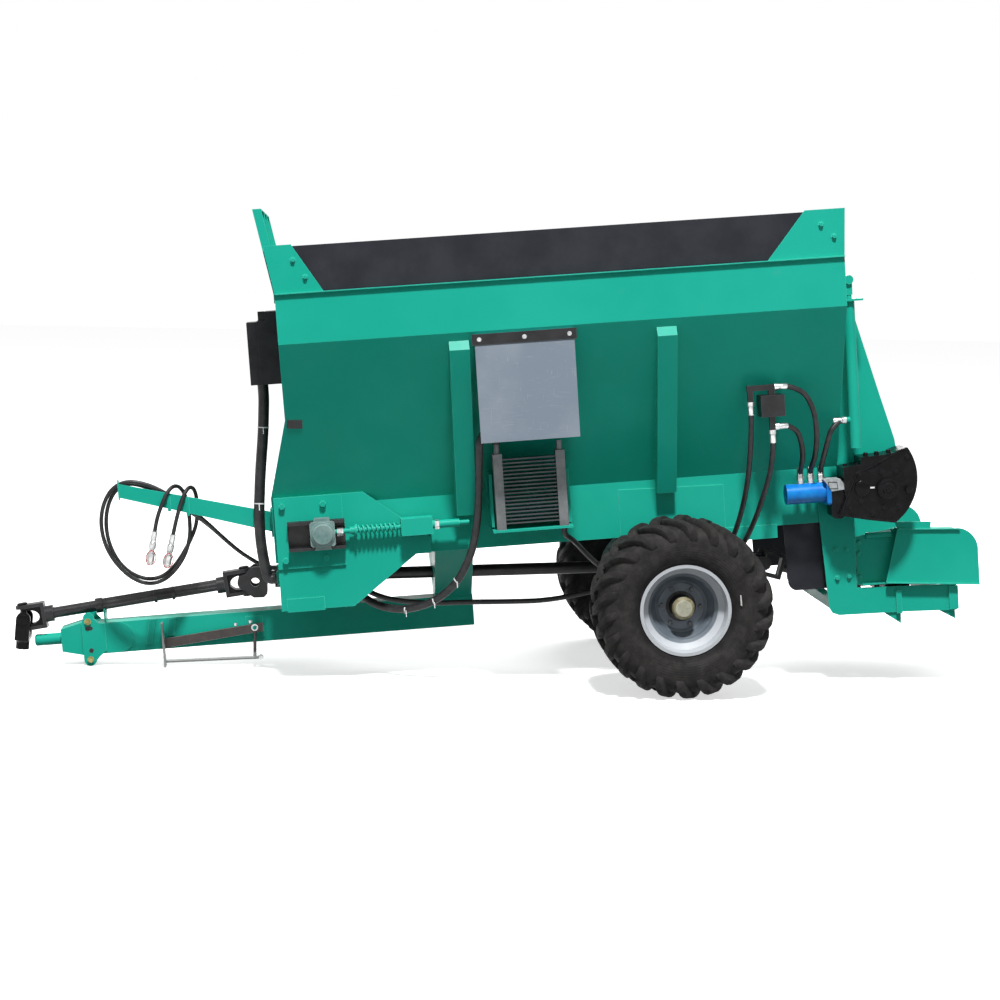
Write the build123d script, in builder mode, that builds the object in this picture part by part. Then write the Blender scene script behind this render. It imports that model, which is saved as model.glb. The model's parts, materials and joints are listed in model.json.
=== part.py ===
from build123d import *
import os
from math import atan, cos, degrees, hypot, pi, radians, sin, sqrt, tan

# A towed V-hopper manure spreader, parked nose-down on its hitch plate and two flotation tyres.
# All sizes are millimetres. The machine is modelled level, with X forward of the axle, Y to its
# left and Z above the axle's centre line. PARKED then pitches it onto its hitch and sets the
# origin on the floor, under the middle of the whole machine.

# ---- stance ----
WHEEL_RADIUS = 437
WHEEL_WIDTH = 400
TRACK_HALF = 800
PITCH = 4.9
ORIGIN_X = 875.1
PARKED = Location((-ORIGIN_X, 0, WHEEL_RADIUS), (0, PITCH, 0))

# ---- hopper: half widths and heights of its folded side sheet ----
SHEET = 5
TOP_HALF, TROUGH_HALF = 925, 520
LIP_Z, FOLD_Z, TROUGH_Z, SKIRT_Z = 1640, 1405, 598, 322
REAR_X, FRONT_X, NOSE_X = -868, 1850, 1951
NOSE_TOP_Z, NOSE_LOW_Z = 1036, 647
LIP_WIDTH = 16

# ---- conveyor: shafts at both ends of the trough ----
SHAFT_FRONT = (1710, 462)
SHAFT_REAR = (-1068, 488)
CHAIN_RADIUS = 75
CHAIN_THICK, CHAIN_WIDE, CHAIN_Y = 12, 34, 400
SLATS, SLAT_WIDE, SLAT_TALL, SLAT_HALF = 18, 40, 22, 490
FLOOR_GAP = 9

# ---- drawbar and hitch ----
BEAM_REAR_X, BEAM_FRONT_X = 970, 2860
BEAM_LOW_Z, BEAM_TOP_Z, BEAM_HALF, BEAM_WALL = -130, 28, 70, 10
HITCH_X, HITCH_TOP_Z, LOBE_R = 2938, 87, 32
HITCH_LOW_Z = (LOBE_R - WHEEL_RADIUS + HITCH_X * sin(radians(PITCH))) / cos(radians(PITCH))

# ---- shafts ----
JOINT_REAR = (2125, 178)
JOINT_FRONT = (3262, 76)
INPUT_X = 1965
DRIVE_REAR_X = -450
DRIVE_SLOPE = 0.0475
DRIVE_Z = 190

# ---- gate at the hopper's rear ----
GATE_HALF, GATE_LOW_Z, GATE_TOP_Z, GATE_TRAVEL = 500, 585, 1150, 500
GATE_X, GATE_THICK = -884, 8
BAR_X, BAR_Z, BAR_R, CYLINDER_Y = -930, 1524, 22, 690
BARREL_LOW_Z, BARREL_TOP_Z, BARREL_R, BORE_R, ROD_R = 700, 1420, 27.5, 20, 15

# ---- spinner deck ----
DECK_Z, DECK_THICK = -10, 6
DISC_X, DISC_Y, DISC_R, DISC_Z = -1200, 232, 215, 12
VANES, VANE_TALL = 6, 62
RUN_GAP = 0.08


def drive_z(x):
    """Height of the under-floor shaft's axis at a distance forward of the axle."""
    return DRIVE_Z + (x - INPUT_X) * DRIVE_SLOPE


def half_width(z):
    """Half width of the hopper's outer face at a height."""
    if z >= FOLD_Z:
        return TOP_HALF
    if z <= TROUGH_Z:
        return TROUGH_HALF
    return TROUGH_HALF + (TOP_HALF - TROUGH_HALF) * (z - TROUGH_Z) / (FOLD_Z - TROUGH_Z)


def side_plane(y):
    """A plane facing the machine's right, X forward and Z up, at a distance left of centre."""
    return Plane(origin=(0, y, 0), x_dir=(1, 0, 0), z_dir=(0, -1, 0))


def folded(points, thickness):
    """Outline of a folded sheet: the points run along one face, the other lies to their left."""
    ends = [Vector(*p) for p in points]
    runs = [(b - a).normalized() for a, b in zip(ends, ends[1:])]
    normals = [Vector(-r.Y, r.X) for r in runs]
    back = [ends[0] + normals[0] * thickness]
    for corner, one, two in zip(ends[1:], normals, normals[1:]):
        middle = (one + two).normalized()
        back.append(corner + middle * (thickness / middle.dot(one)))
    back.append(ends[-1] + normals[-1] * thickness)
    return [(v.X, v.Y) for v in ends + back[::-1]]


def bend_radii(points):
    """The arc at each corner of a hose's route, as large as the two runs beside it allow."""
    radii = []
    for before, corner, after in zip(points, points[1:], points[2:]):
        run_in = Vector(*corner) - Vector(*before)
        run_out = Vector(*after) - Vector(*corner)
        half_turn = radians(run_in.get_angle(run_out)) / 2
        radii.append(0.45 * min(run_in.length, run_out.length) / tan(half_turn))
    return radii


# ======================== hopper ========================
RIB_WIDE, RIB_TOP_Z, RIB_CAP, RIB_DEPTH = 95, 1365, 42, 22
RIBS = ((1000, 499), (5, 536))  # centre X, bottom Z
RIB_FOOT_Y = 600
AXLE_PLATE = ((239, 262), (239, 560), (-289, 548), (-289, 330), (-548, 330), (-548, 262))
WINDOW_REAR_X, WINDOW_FRONT_X, WINDOW_LOW_Z, WINDOW_TOP_Z = 1600, 1882, 384, 528
SIDE_OUTLINE = (
    (REAR_X, SKIRT_Z), (NOSE_X, SKIRT_Z), (NOSE_X, NOSE_LOW_Z), (FRONT_X, NOSE_TOP_Z),
    (FRONT_X, LIP_Z + SHEET), (REAR_X, LIP_Z + SHEET),
)
SIDE_SECTION = (
    (TROUGH_HALF, SKIRT_Z), (TROUGH_HALF, TROUGH_Z), (TOP_HALF, FOLD_Z), (TOP_HALF, LIP_Z),
    (TOP_HALF + LIP_WIDTH, LIP_Z),
)


with BuildPart() as hopper_side_left:
    with BuildSketch(Plane.YZ.offset(REAR_X)):
        Polygon(*folded(SIDE_SECTION, SHEET), align=None)
    extrude(amount=NOSE_X - REAR_X)
    with BuildSketch(side_plane(TOP_HALF + LIP_WIDTH)):
        Polygon(*SIDE_OUTLINE, align=None)
    extrude(amount=TOP_HALF, mode=Mode.INTERSECT)
    for rib_x, rib_low_z in RIBS:
        with BuildSketch(Plane.YZ.offset(rib_x - RIB_WIDE / 2)):
            Polygon(
                (half_width(RIB_TOP_Z), RIB_TOP_Z),
                (half_width(RIB_TOP_Z) + RIB_DEPTH, RIB_TOP_Z - RIB_CAP),
                (RIB_FOOT_Y, rib_low_z),
                (TROUGH_HALF, rib_low_z),
                (TROUGH_HALF, TROUGH_Z),
                align=None,
            )
        extrude(amount=RIB_WIDE)
    with BuildSketch(side_plane(TROUGH_HALF + 6)):
        Polygon(*AXLE_PLATE, align=None)
    extrude(amount=6 + SHEET)
    with BuildSketch(side_plane(TROUGH_HALF + SHEET)):
        with Locations(((WINDOW_REAR_X + WINDOW_FRONT_X) / 2, (WINDOW_LOW_Z + WINDOW_TOP_Z) / 2)):
            Rectangle(WINDOW_FRONT_X - WINDOW_REAR_X, WINDOW_TOP_Z - WINDOW_LOW_Z)
    extrude(amount=3 * SHEET, mode=Mode.SUBTRACT)

with BuildPart() as hopper_side_right:
    mirror(hopper_side_left.part, about=Plane.XZ)


# folds of the side sheet's inner face, from its foot to its lip
INNER_FACE = folded(SIDE_SECTION, SHEET)[:len(SIDE_SECTION) - 1:-1]


def inner_half(z):
    """Half width inside the hopper at a height."""
    for (low_y, low_z), (high_y, high_z) in zip(INNER_FACE, INNER_FACE[1:]):
        if low_z <= z <= high_z:
            return low_y + (high_y - low_y) * (z - low_z) / (high_z - low_z)


def inner_outline(low_z, high_z):
    """The hopper's inside across the machine, between two heights."""
    folds = [z for _, z in INNER_FACE[1:3] if low_z < z < high_z]
    left = [(inner_half(z), z) for z in (low_z, *folds, high_z)]
    return left + [(-y, z) for y, z in reversed(left)]


FRONT_WALL_LOW_Z = 430

with BuildPart() as hopper_front:
    with BuildSketch(side_plane(TOP_HALF)):
        Polygon(
            *folded(
                ((NOSE_X, FRONT_WALL_LOW_Z), (NOSE_X, NOSE_LOW_Z), (FRONT_X, NOSE_TOP_Z),
                 (FRONT_X, LIP_Z)), SHEET),
            align=None,
        )
    extrude(amount=2 * TOP_HALF)
    with BuildSketch(Plane.YZ.offset(FRONT_X - 50)):
        Polygon(*inner_outline(FRONT_WALL_LOW_Z, LIP_Z), align=None)
    extrude(amount=200, mode=Mode.INTERSECT)

REAR_DOOR_HALF, REAR_DOOR_TOP_Z = 450, 1110
CHANNEL_X, CHANNEL_IN, CHANNEL_OUT = -900, 455, 515

with BuildPart() as hopper_rear:
    with BuildSketch(Plane.YZ.offset(REAR_X)):
        Polygon(*inner_outline(REAR_DOOR_TOP_Z, LIP_Z), align=None)
        for side in (-1, 1):
            wall = [(y, z) for y, z in inner_outline(GATE_LOW_Z, REAR_DOOR_TOP_Z) if y > 0]
            Polygon(
                *[(side * y, z) for y, z in wall],
                (side * REAR_DOOR_HALF, REAR_DOOR_TOP_Z),
                (side * REAR_DOOR_HALF, GATE_LOW_Z),
                align=None,
            )
    extrude(amount=SHEET)
    # channels that the gate slides in
    for side in (-1, 1):
        with BuildSketch(Plane.XY.offset(GATE_LOW_Z)):
            Polygon(
                (REAR_X, side * CHANNEL_OUT), (CHANNEL_X, side * CHANNEL_OUT),
                (CHANNEL_X, side * CHANNEL_IN), (CHANNEL_X + SHEET, side * CHANNEL_IN),
                (CHANNEL_X + SHEET, side * (CHANNEL_OUT - SHEET)),
                (REAR_X, side * (CHANNEL_OUT - SHEET)), align=None)
        extrude(amount=LIP_Z - GATE_LOW_Z)
    # brackets that the gate's cylinders hang from
    for side in (-1, 1):
        with BuildSketch(Plane.XY.offset(BARREL_TOP_Z)):
            with Locations((BAR_X, side * CYLINDER_Y)):
                Rectangle(2 * (REAR_X - BAR_X), 90)
                Circle(ROD_R + 3, mode=Mode.SUBTRACT)
        extrude(amount=10)

FLOOR_FRONT_X, FLOOR_REAR_X = 1600, -960


def conveyor_z(x):
    """Height of the conveyor's centre line, from the front shaft to the rear one."""
    slope = (SHAFT_REAR[1] - SHAFT_FRONT[1]) / (SHAFT_REAR[0] - SHAFT_FRONT[0])
    return SHAFT_FRONT[1] + (x - SHAFT_FRONT[0]) * slope


with BuildPart() as hopper_floor:
    floor_drop = CHAIN_RADIUS - CHAIN_THICK / 2 - 1
    with BuildSketch(side_plane(TROUGH_HALF - SHEET)):
        Polygon(
            (FLOOR_REAR_X, conveyor_z(FLOOR_REAR_X) + floor_drop),
            (FLOOR_FRONT_X, conveyor_z(FLOOR_FRONT_X) + floor_drop),
            (FLOOR_FRONT_X, conveyor_z(FLOOR_FRONT_X) + floor_drop - SHEET),
            (FLOOR_REAR_X, conveyor_z(FLOOR_REAR_X) + floor_drop - SHEET),
            align=None,
        )
    extrude(amount=2 * (TROUGH_HALF - SHEET))
    # cross channels that stiffen the floor between the conveyor's two runs
    for beam_x in (1200, 500, -200, -820):
        with BuildSketch(side_plane(TROUGH_HALF - SHEET)):
            with Locations((beam_x, conveyor_z(beam_x) + floor_drop - SHEET - 30)):
                Rectangle(50, 62)
                Rectangle(40, 52, mode=Mode.SUBTRACT)
        extrude(amount=2 * (TROUGH_HALF - SHEET))

STRIP_TOP_Z, STRIP_THICK, STRIP_Y = 1871, 8, 920
STRIP_EDGE_Z = STRIP_TOP_Z - 8
STRIP_INNER = ((-860, LIP_Z - 30), (1842, LIP_Z - 30), (1842, STRIP_EDGE_Z), (-860, STRIP_EDGE_Z))
CORNERS = (
    ((1620, LIP_Z + SHEET), (1850, LIP_Z + SHEET), (1889, STRIP_TOP_Z), (1757, STRIP_TOP_Z)),
    ((-868, LIP_Z + SHEET), (-497, LIP_Z + SHEET), (-686, STRIP_TOP_Z), (-880, STRIP_TOP_Z)),
)

with BuildPart() as top_strips:
    for side in (-1, 1):
        with BuildSketch(side_plane(side * STRIP_Y)):
            Polygon(*STRIP_INNER, align=None)
        extrude(amount=side * STRIP_THICK)

with BuildPart() as corner_plates:
    for side in (-1, 1):
        for outline in CORNERS:
            with BuildSketch(side_plane(side * (STRIP_Y + 6))):
                Polygon(*outline, align=None)
            extrude(amount=side * 6)

BOARD_TOP_X, BOARD_TOP_Z, BOARD_FLANGE, BOARD_HALF = 1925, 2046, 42, TOP_HALF - 20

with BuildPart() as front_board:
    with BuildSketch(side_plane(BOARD_HALF)):
        Polygon(
            *folded(((FRONT_X + SHEET, LIP_Z - 40), (FRONT_X + SHEET, LIP_Z + SHEET),
                     (BOARD_TOP_X, BOARD_TOP_Z), (BOARD_TOP_X - BOARD_FLANGE, BOARD_TOP_Z)), SHEET),
            align=None,
        )
    extrude(amount=2 * BOARD_HALF)
    # flanges down both ends and two stiffeners between them
    for rib_y in (BOARD_HALF, 300 + SHEET, -300, -BOARD_HALF + SHEET):
        with BuildSketch(side_plane(rib_y)):
            Polygon((FRONT_X + SHEET, LIP_Z + SHEET), (BOARD_TOP_X, BOARD_TOP_Z),
                    (BOARD_TOP_X - BOARD_FLANGE, BOARD_TOP_Z), (FRONT_X + SHEET - BOARD_FLANGE, LIP_Z + SHEET),
                    align=None)
        extrude(amount=SHEET)

# ======================== frame ========================
BOLSTER = (975, 1165)
GUSSET_Y, GUSSET_THICK = 546, 10
GLAND_X = 1955
ROD_Y, ROD_Z, PULL_ROD_R = 600, 466, 12
ANCHOR_REAR_X, ANCHOR_FRONT_X = 1172, 1326
GUSSET = ((1939, 648), (1939, 87), (1581, 87), (1260, SKIRT_Z), (1186, SKIRT_Z), (1186, 400), (1500, 648))
CROSS_X, CROSS_WIDE, CROSS_LOW_Z, CROSS_TALL = 1818, 184, 80, 66
STAND_PIVOT, STAND_Y, STAND_PIN_R = (2095, -50), 96, 10
CRADLE_X, CRADLE_LIP_Z, CRADLE_SEAT_Z = 2848, 96, 70
STRAPS = (
    ((2595, 27), (2626, 25), (2653, -98), (2622, -98)),
    ((2494, 24), (2530, 22), (2541, -62), (2506, -63)),
)

with BuildPart() as drawbar:
    with BuildSketch(Plane.YZ.offset(BEAM_REAR_X)):
        with Locations((0, (BEAM_LOW_Z + BEAM_TOP_Z) / 2)):
            Rectangle(2 * BEAM_HALF, BEAM_TOP_Z - BEAM_LOW_Z)
            Rectangle(2 * (BEAM_HALF - BEAM_WALL), BEAM_TOP_Z - BEAM_LOW_Z - 2 * BEAM_WALL, mode=Mode.SUBTRACT)
    extrude(amount=BEAM_FRONT_X - BEAM_REAR_X)
    # cradle that the drive shaft rests over when it is let down
    with BuildSketch(Plane.YZ.offset(CRADLE_X)):
        Polygon((-50, BEAM_TOP_Z), (50, BEAM_TOP_Z), (50, CRADLE_LIP_Z), (40, CRADLE_LIP_Z),
                (40, CRADLE_SEAT_Z), (-40, CRADLE_SEAT_Z), (-40, CRADLE_LIP_Z), (-50, CRADLE_LIP_Z),
                align=None)
    extrude(amount=8)
    # bolster: a trapezoid box from the beam up to the trough, pierced by the drive shaft
    for inset, mode in ((0, Mode.ADD), (8, Mode.SUBTRACT)):
        with BuildSketch(Plane.YZ.offset(BOLSTER[0] + inset)):
            Polygon(
                (-TROUGH_HALF + inset, SKIRT_Z), (TROUGH_HALF - inset, SKIRT_Z),
                (BEAM_HALF + 20 - inset, BEAM_TOP_Z), (-BEAM_HALF - 20 + inset, BEAM_TOP_Z),
                align=None,
            )
        extrude(amount=BOLSTER[1] - BOLSTER[0] - 2 * inset, mode=mode)
    with BuildSketch(Plane.YZ.offset(BOLSTER[0] - 1)):
        with Locations((0, drive_z(1070))):
            Circle(52)
    extrude(amount=BOLSTER[1] - BOLSTER[0] + 2, mode=Mode.SUBTRACT)
    # bracket and pin that the parking stand turns on
    with BuildSketch(side_plane(BEAM_HALF + 10)):
        with Locations(STAND_PIVOT):
            Rectangle(90, 110)
    extrude(amount=10)
    with BuildSketch(side_plane(STAND_Y + 26)):
        with Locations(STAND_PIVOT):
            Circle(STAND_PIN_R)
    extrude(amount=STAND_Y + 26 - BEAM_HALF - 10)
    # cross tube under the hopper's nose, on two saddle plates along the beam
    with BuildSketch(side_plane(GUSSET_Y + GUSSET_THICK + 6)):
        with Locations((CROSS_X, CROSS_LOW_Z + CROSS_TALL / 2)):
            Rectangle(CROSS_WIDE, CROSS_TALL)
            Rectangle(CROSS_WIDE - 12, CROSS_TALL - 12, mode=Mode.SUBTRACT)
    extrude(amount=2 * (GUSSET_Y + GUSSET_THICK + 6))
    for saddle_y in (-BEAM_HALF + 12, BEAM_HALF):
        with BuildSketch(side_plane(saddle_y)):
            with Locations((CROSS_X, (BEAM_TOP_Z + CROSS_LOW_Z) / 2)):
                Rectangle(CROSS_WIDE - 28, CROSS_LOW_Z - BEAM_TOP_Z)
        extrude(amount=12)
    # notch in it for the drive shaft
    notch_x = CROSS_X - CROSS_WIDE
    with BuildSketch(Plane(origin=(notch_x, 0, drive_z(notch_x)), z_dir=(1, 0, DRIVE_SLOPE))):
        Circle(45)
    extrude(amount=2 * CROSS_WIDE, mode=Mode.SUBTRACT)
    # straps welded on the beam's sides
    with BuildSketch(side_plane(BEAM_HALF + 8)):
        for strap in STRAPS:
            Polygon(*strap, align=None)
    extrude(amount=8)
    # end caps of the cross tube
    for cap_y in (GUSSET_Y + GUSSET_THICK + 6, -GUSSET_Y - GUSSET_THICK):
        with BuildSketch(side_plane(cap_y)):
            with Locations((CROSS_X, CROSS_LOW_Z + CROSS_TALL / 2)):
                Rectangle(CROSS_WIDE, CROSS_TALL)
        extrude(amount=6)

with BuildPart() as gusset_plates:
    with BuildSketch(side_plane(GUSSET_Y + GUSSET_THICK)):
        Polygon(*GUSSET, align=None)
        with Locations(((WINDOW_REAR_X + WINDOW_FRONT_X) / 2, (WINDOW_LOW_Z + WINDOW_TOP_Z) / 2)):
            Rectangle(WINDOW_FRONT_X - WINDOW_REAR_X, WINDOW_TOP_Z - WINDOW_LOW_Z, mode=Mode.SUBTRACT)
        with Locations((CROSS_X, CROSS_LOW_Z + CROSS_TALL / 2)):
            Rectangle(CROSS_WIDE, CROSS_TALL, mode=Mode.SUBTRACT)
    extrude(amount=GUSSET_THICK)
    # channels that the tensioners' rods pass through
    with BuildSketch(side_plane(ROD_Y + 38)):
        Polygon((ANCHOR_REAR_X, 424), (ANCHOR_FRONT_X, 424), (ANCHOR_FRONT_X, 508),
                (ANCHOR_REAR_X, 508), align=None)
    extrude(amount=ROD_Y + 38 - GUSSET_Y - GUSSET_THICK)
    with BuildSketch(side_plane(ROD_Y + 30)):
        Polygon((ANCHOR_REAR_X + 8, 424), (ANCHOR_FRONT_X - 8, 424), (ANCHOR_FRONT_X - 8, 500),
                (ANCHOR_REAR_X + 8, 500), align=None)
    extrude(amount=60, mode=Mode.SUBTRACT)
    with BuildSketch(Plane.YZ.offset(ANCHOR_REAR_X - 1)):
        with Locations((ROD_Y, ROD_Z)):
            Circle(PULL_ROD_R)
    extrude(amount=ANCHOR_FRONT_X - ANCHOR_REAR_X + 2, mode=Mode.SUBTRACT)
    mirror(about=Plane.XZ)
    # front plate between the gussets, which carries the input bearing
    with BuildSketch(Plane.YZ.offset(1929)):
        with Locations((0, 190)):
            Rectangle(2 * GUSSET_Y, 206)
            Circle(62, mode=Mode.SUBTRACT)
    extrude(amount=10)
    # glands of the sleeve and of the tractor hoses
    for gland_y, gland_z, gland_r in ((394, 232, 36), (230, 262, 15), (196, 262, 15)):
        with BuildSketch(Plane.YZ.offset(1939)):
            with Locations((gland_y, gland_z)):
                Circle(gland_r)
        extrude(amount=GLAND_X - 1939)

STUB_Z, STUB_R, STUB_TIP_X, STUB_BORE_R = -45, 30, 3218, 13
HEAD_REAR_X, HEAD_CHEEK_X, HEAD_FRONT_X, CHEEK_REAR_X = 2860, 2970, 3078, 2852
PAD_X, PAD_R, PAD_END_X = 2785, 76, 2880

with BuildPart() as hitch_head:
    # rounded reinforcing plates on the beam's sides
    with BuildSketch(side_plane(BEAM_HALF + 8)):
        with Locations((PAD_X, (BEAM_LOW_Z + BEAM_TOP_Z) / 2)):
            Circle(PAD_R)
        with Locations(((PAD_X + PAD_END_X) / 2, (BEAM_LOW_Z + BEAM_TOP_Z) / 2)):
            Rectangle(PAD_END_X - PAD_X, 2 * PAD_R)
    extrude(amount=8)
    # lobed plates: the lower lobe is the foot that the parked machine stands on
    with BuildSketch(side_plane(BEAM_HALF + 14)):
        with BuildLine():
            Polyline(
                (HITCH_X - LOBE_R - 2, HITCH_TOP_Z - LOBE_R), (CHEEK_REAR_X + 28, 26), (CHEEK_REAR_X, 26),
                (CHEEK_REAR_X, -112), (HITCH_X - LOBE_R, HITCH_LOW_Z),
            )
            ThreePointArc((HITCH_X - LOBE_R, HITCH_LOW_Z), (HITCH_X, HITCH_LOW_Z - LOBE_R),
                          (HITCH_X + LOBE_R, HITCH_LOW_Z))
            Polyline((HITCH_X + LOBE_R, HITCH_LOW_Z), (HEAD_CHEEK_X, -131), (HEAD_CHEEK_X, 37),
                     (HITCH_X + LOBE_R - 10, HITCH_TOP_Z - LOBE_R))
            ThreePointArc((HITCH_X + LOBE_R - 10, HITCH_TOP_Z - LOBE_R), (HITCH_X - 6, HITCH_TOP_Z),
                          (HITCH_X - LOBE_R - 2, HITCH_TOP_Z - LOBE_R))
        make_face()
        with Locations((HITCH_X - 8, -108)):
            Circle(12, mode=Mode.SUBTRACT)
        with Locations((HITCH_X - 4, 6)):
            SlotOverall(40, 22, mode=Mode.SUBTRACT)
    extrude(amount=14)
    mirror(about=Plane.XZ)
    # box between the plates, tapering to the coupling
    with BuildSketch(side_plane(BEAM_HALF)):
        Polygon(
            (HEAD_REAR_X, BEAM_LOW_Z), (HEAD_CHEEK_X, -131), (HEAD_FRONT_X, -105), (HEAD_FRONT_X, 10),
            (HEAD_CHEEK_X, 37), (HEAD_REAR_X, BEAM_TOP_Z), align=None)
    extrude(amount=2 * BEAM_HALF)
    # bolts through both lobes
    for bolt_z in (HITCH_TOP_Z - LOBE_R - 12, HITCH_LOW_Z):
        with BuildSketch(side_plane(BEAM_HALF + 26)):
            with Locations((HITCH_X - 2, bolt_z)):
                RegularPolygon(15, 6)
        extrude(amount=2 * BEAM_HALF + 52)
    # coupling stub with an upright bore for the tractor's pin
    with BuildSketch(Plane.YZ.offset(HEAD_FRONT_X)):
        with Locations((0, STUB_Z)):
            Circle(STUB_R)
    extrude(amount=STUB_TIP_X - HEAD_FRONT_X)
    fillet(hitch_head.faces().sort_by(Axis.X)[-1].edges(), 12)
    with BuildSketch(Plane.XY.offset(STUB_Z + STUB_R)):
        with Locations((STUB_TIP_X - 42, 0)):
            Circle(STUB_BORE_R)
    extrude(amount=-2 * STUB_R, mode=Mode.SUBTRACT)

# ======================== axle and wheels ========================
AXLE_HALF, AXLE_SIDE, SPINDLE_R, SPINDLE_END = 640, 100, 35, 862

with BuildPart() as axle:
    with BuildSketch(Plane.XZ.offset(-AXLE_HALF)):
        Rectangle(AXLE_SIDE, AXLE_SIDE)
    extrude(amount=2 * AXLE_HALF)
    with BuildSketch(Plane.XZ.offset(-SPINDLE_END)):
        Circle(SPINDLE_R)
    extrude(amount=2 * SPINDLE_END)
    # brackets that hang the axle from the trough
    for side in (-1, 1):
        with BuildSketch(side_plane(side * 505 + 10)):
            Polygon((-170, SKIRT_Z), (170, SKIRT_Z), (90, -40), (-90, -40), align=None)
        extrude(amount=20)
        with BuildSketch(side_plane(side * 470 + 45)):
            Polygon((-30, SKIRT_Z), (30, SKIRT_Z), (30, 40), (-30, 40), align=None)
        extrude(amount=70)

LUGS, BEAD_R, BEAD_HALF = 22, 208, 157
FACETS = 2 * LUGS
# radius and distance from the wheel's centre plane, from the near bead over the crown to the far one
CARCASS = ((240, BEAD_HALF), (330, 192), (405, 130), (405, -130), (330, -192), (240, -BEAD_HALF))
# distance from the centre plane and fall below the crown, across one lug
LUG_SECTION = ((4, 0), (122, 0), (172, 14), (WHEEL_WIDTH / 2, 50), (WHEEL_WIDTH / 2, 110), (4, 110))
LUG_LEAD_X, LUG_TRAIL_X, LUG_HEEL, LUG_DEEP = 14, -138, 48, 110
LUG_PRINT = ((LUG_LEAD_X, 4), (LUG_TRAIL_X + LUG_HEEL, 204), (LUG_TRAIL_X, 204), (LUG_LEAD_X - LUG_HEEL, 4))


def wheel_section(points):
    """Points of a wheel's section, on the plane through its axle, for the left wheel."""
    return [(r, TRACK_HALF + y) for r, y in points]


def facet_ring(radius, y):
    """A polygon about the left wheel's axle, one corner to each half pitch of the lugs."""
    with BuildSketch(Plane.XZ.offset(-TRACK_HALF - y)) as ring:
        RegularPolygon(radius, FACETS, rotation=PITCH)
    return ring.sketch


# one lug of the left tyre, at the top of the wheel: its section runs down the chord of the crown
lead_z = sqrt(WHEEL_RADIUS ** 2 - LUG_LEAD_X ** 2)
trail_z = sqrt(WHEEL_RADIUS ** 2 - LUG_TRAIL_X ** 2)
chord = Vector(LUG_TRAIL_X - LUG_LEAD_X, 0, trail_z - lead_z)

with BuildPart() as lug_bar:
    with BuildSketch(Plane(origin=(LUG_LEAD_X, 0, lead_z), x_dir=(0, 1, 0), z_dir=(1, 0, 0))) as bar_section:
        Polygon(*[(TRACK_HALF + y, -fall) for y, fall in LUG_SECTION], align=None)
    extrude(bar_section.sketch, amount=chord.length, dir=chord.normalized())

with BuildPart() as lug:
    with BuildSketch(Plane.XY.offset(WHEEL_RADIUS)):
        Polygon(*[(x, TRACK_HALF + y) for x, y in LUG_PRINT], align=None)
    extrude(amount=-LUG_DEEP)
    add(lug_bar.part, mode=Mode.INTERSECT)

WHEEL_PLANE = Plane(origin=(0, TRACK_HALF, 0), x_dir=(1, 0, 0), z_dir=(0, 1, 0))
outer_lug = lug.part
inner_lug = outer_lug.mirror(WHEEL_PLANE)

with BuildPart() as tyre_left:
    loft([facet_ring(*station) for station in CARCASS], ruled=True)
    with BuildSketch(WHEEL_PLANE.offset(-BEAD_HALF)):
        RegularPolygon(BEAD_R + 0.02, FACETS, major_radius=False, rotation=PITCH)
    extrude(amount=2 * BEAD_HALF, mode=Mode.SUBTRACT)
    lug_angles = [360 / LUGS * step for step in range(LUGS)]
    add([outer_lug.rotate(Axis.Y, angle) for angle in lug_angles]
        + [inner_lug.rotate(Axis.Y, angle + 180 / LUGS) for angle in lug_angles])

with BuildPart() as tyre_right:
    mirror(tyre_left.part, about=Plane.XZ)

# barrel with its well, and the dished disc welded inside it
RIM = (
    (BEAD_R, BEAD_HALF), (222, BEAD_HALF), (222, 165), (206, 165), (201, 150), (199, 106), (156, 68),
    (152, 44), (128, 12), (112, 4), (74, 4), (74, -6), (114, -6), (136, 2), (156, 26), (160, -20),
    (200, -56), (200, -165), (222, -165), (222, -BEAD_HALF), (BEAD_R, -BEAD_HALF), (BEAD_R, -62),
    (168, -24), (166, 66), (BEAD_R, 102),
)
HUB_END = 66
HUB = (
    (SPINDLE_R + RUN_GAP, -90), (62, -90), (62, -22), (118, -22), (118, -6), (57, -6), (57, 84), (50, 98),
    (38, 104), (0, 104), (0, HUB_END), (SPINDLE_R + RUN_GAP, HUB_END),
)
WHEEL_BOLTS, BOLT_CIRCLE_R, BOLT_R, BOLT_TALL = 6, 97, 12, 16

with BuildPart() as rim_left:
    with BuildSketch(Plane.XY):
        Polygon(*wheel_section(RIM), align=None)
    revolve(axis=Axis.Y)
    with BuildSketch(WHEEL_PLANE.offset(4)):
        with PolarLocations(BOLT_CIRCLE_R, WHEEL_BOLTS, start_angle=-6):
            RegularPolygon(BOLT_R, 6)
    extrude(amount=BOLT_TALL)

with BuildPart() as rim_right:
    mirror(rim_left.part, about=Plane.XZ)

with BuildPart() as hub_left:
    with BuildSketch(Plane.XY):
        Polygon(*wheel_section(HUB), align=None)
    revolve(axis=Axis.Y)

with BuildPart() as hub_right:
    mirror(hub_left.part, about=Plane.XZ)

# ======================== conveyor ========================
RUN_LENGTH = hypot(SHAFT_FRONT[0] - SHAFT_REAR[0], SHAFT_FRONT[1] - SHAFT_REAR[1])
BELT_PLANE = Plane(
    origin=(SHAFT_REAR[0], 0, SHAFT_REAR[1]),
    x_dir=(SHAFT_FRONT[0] - SHAFT_REAR[0], 0, SHAFT_FRONT[1] - SHAFT_REAR[1]),
    z_dir=(0, -1, 0),
)


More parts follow.
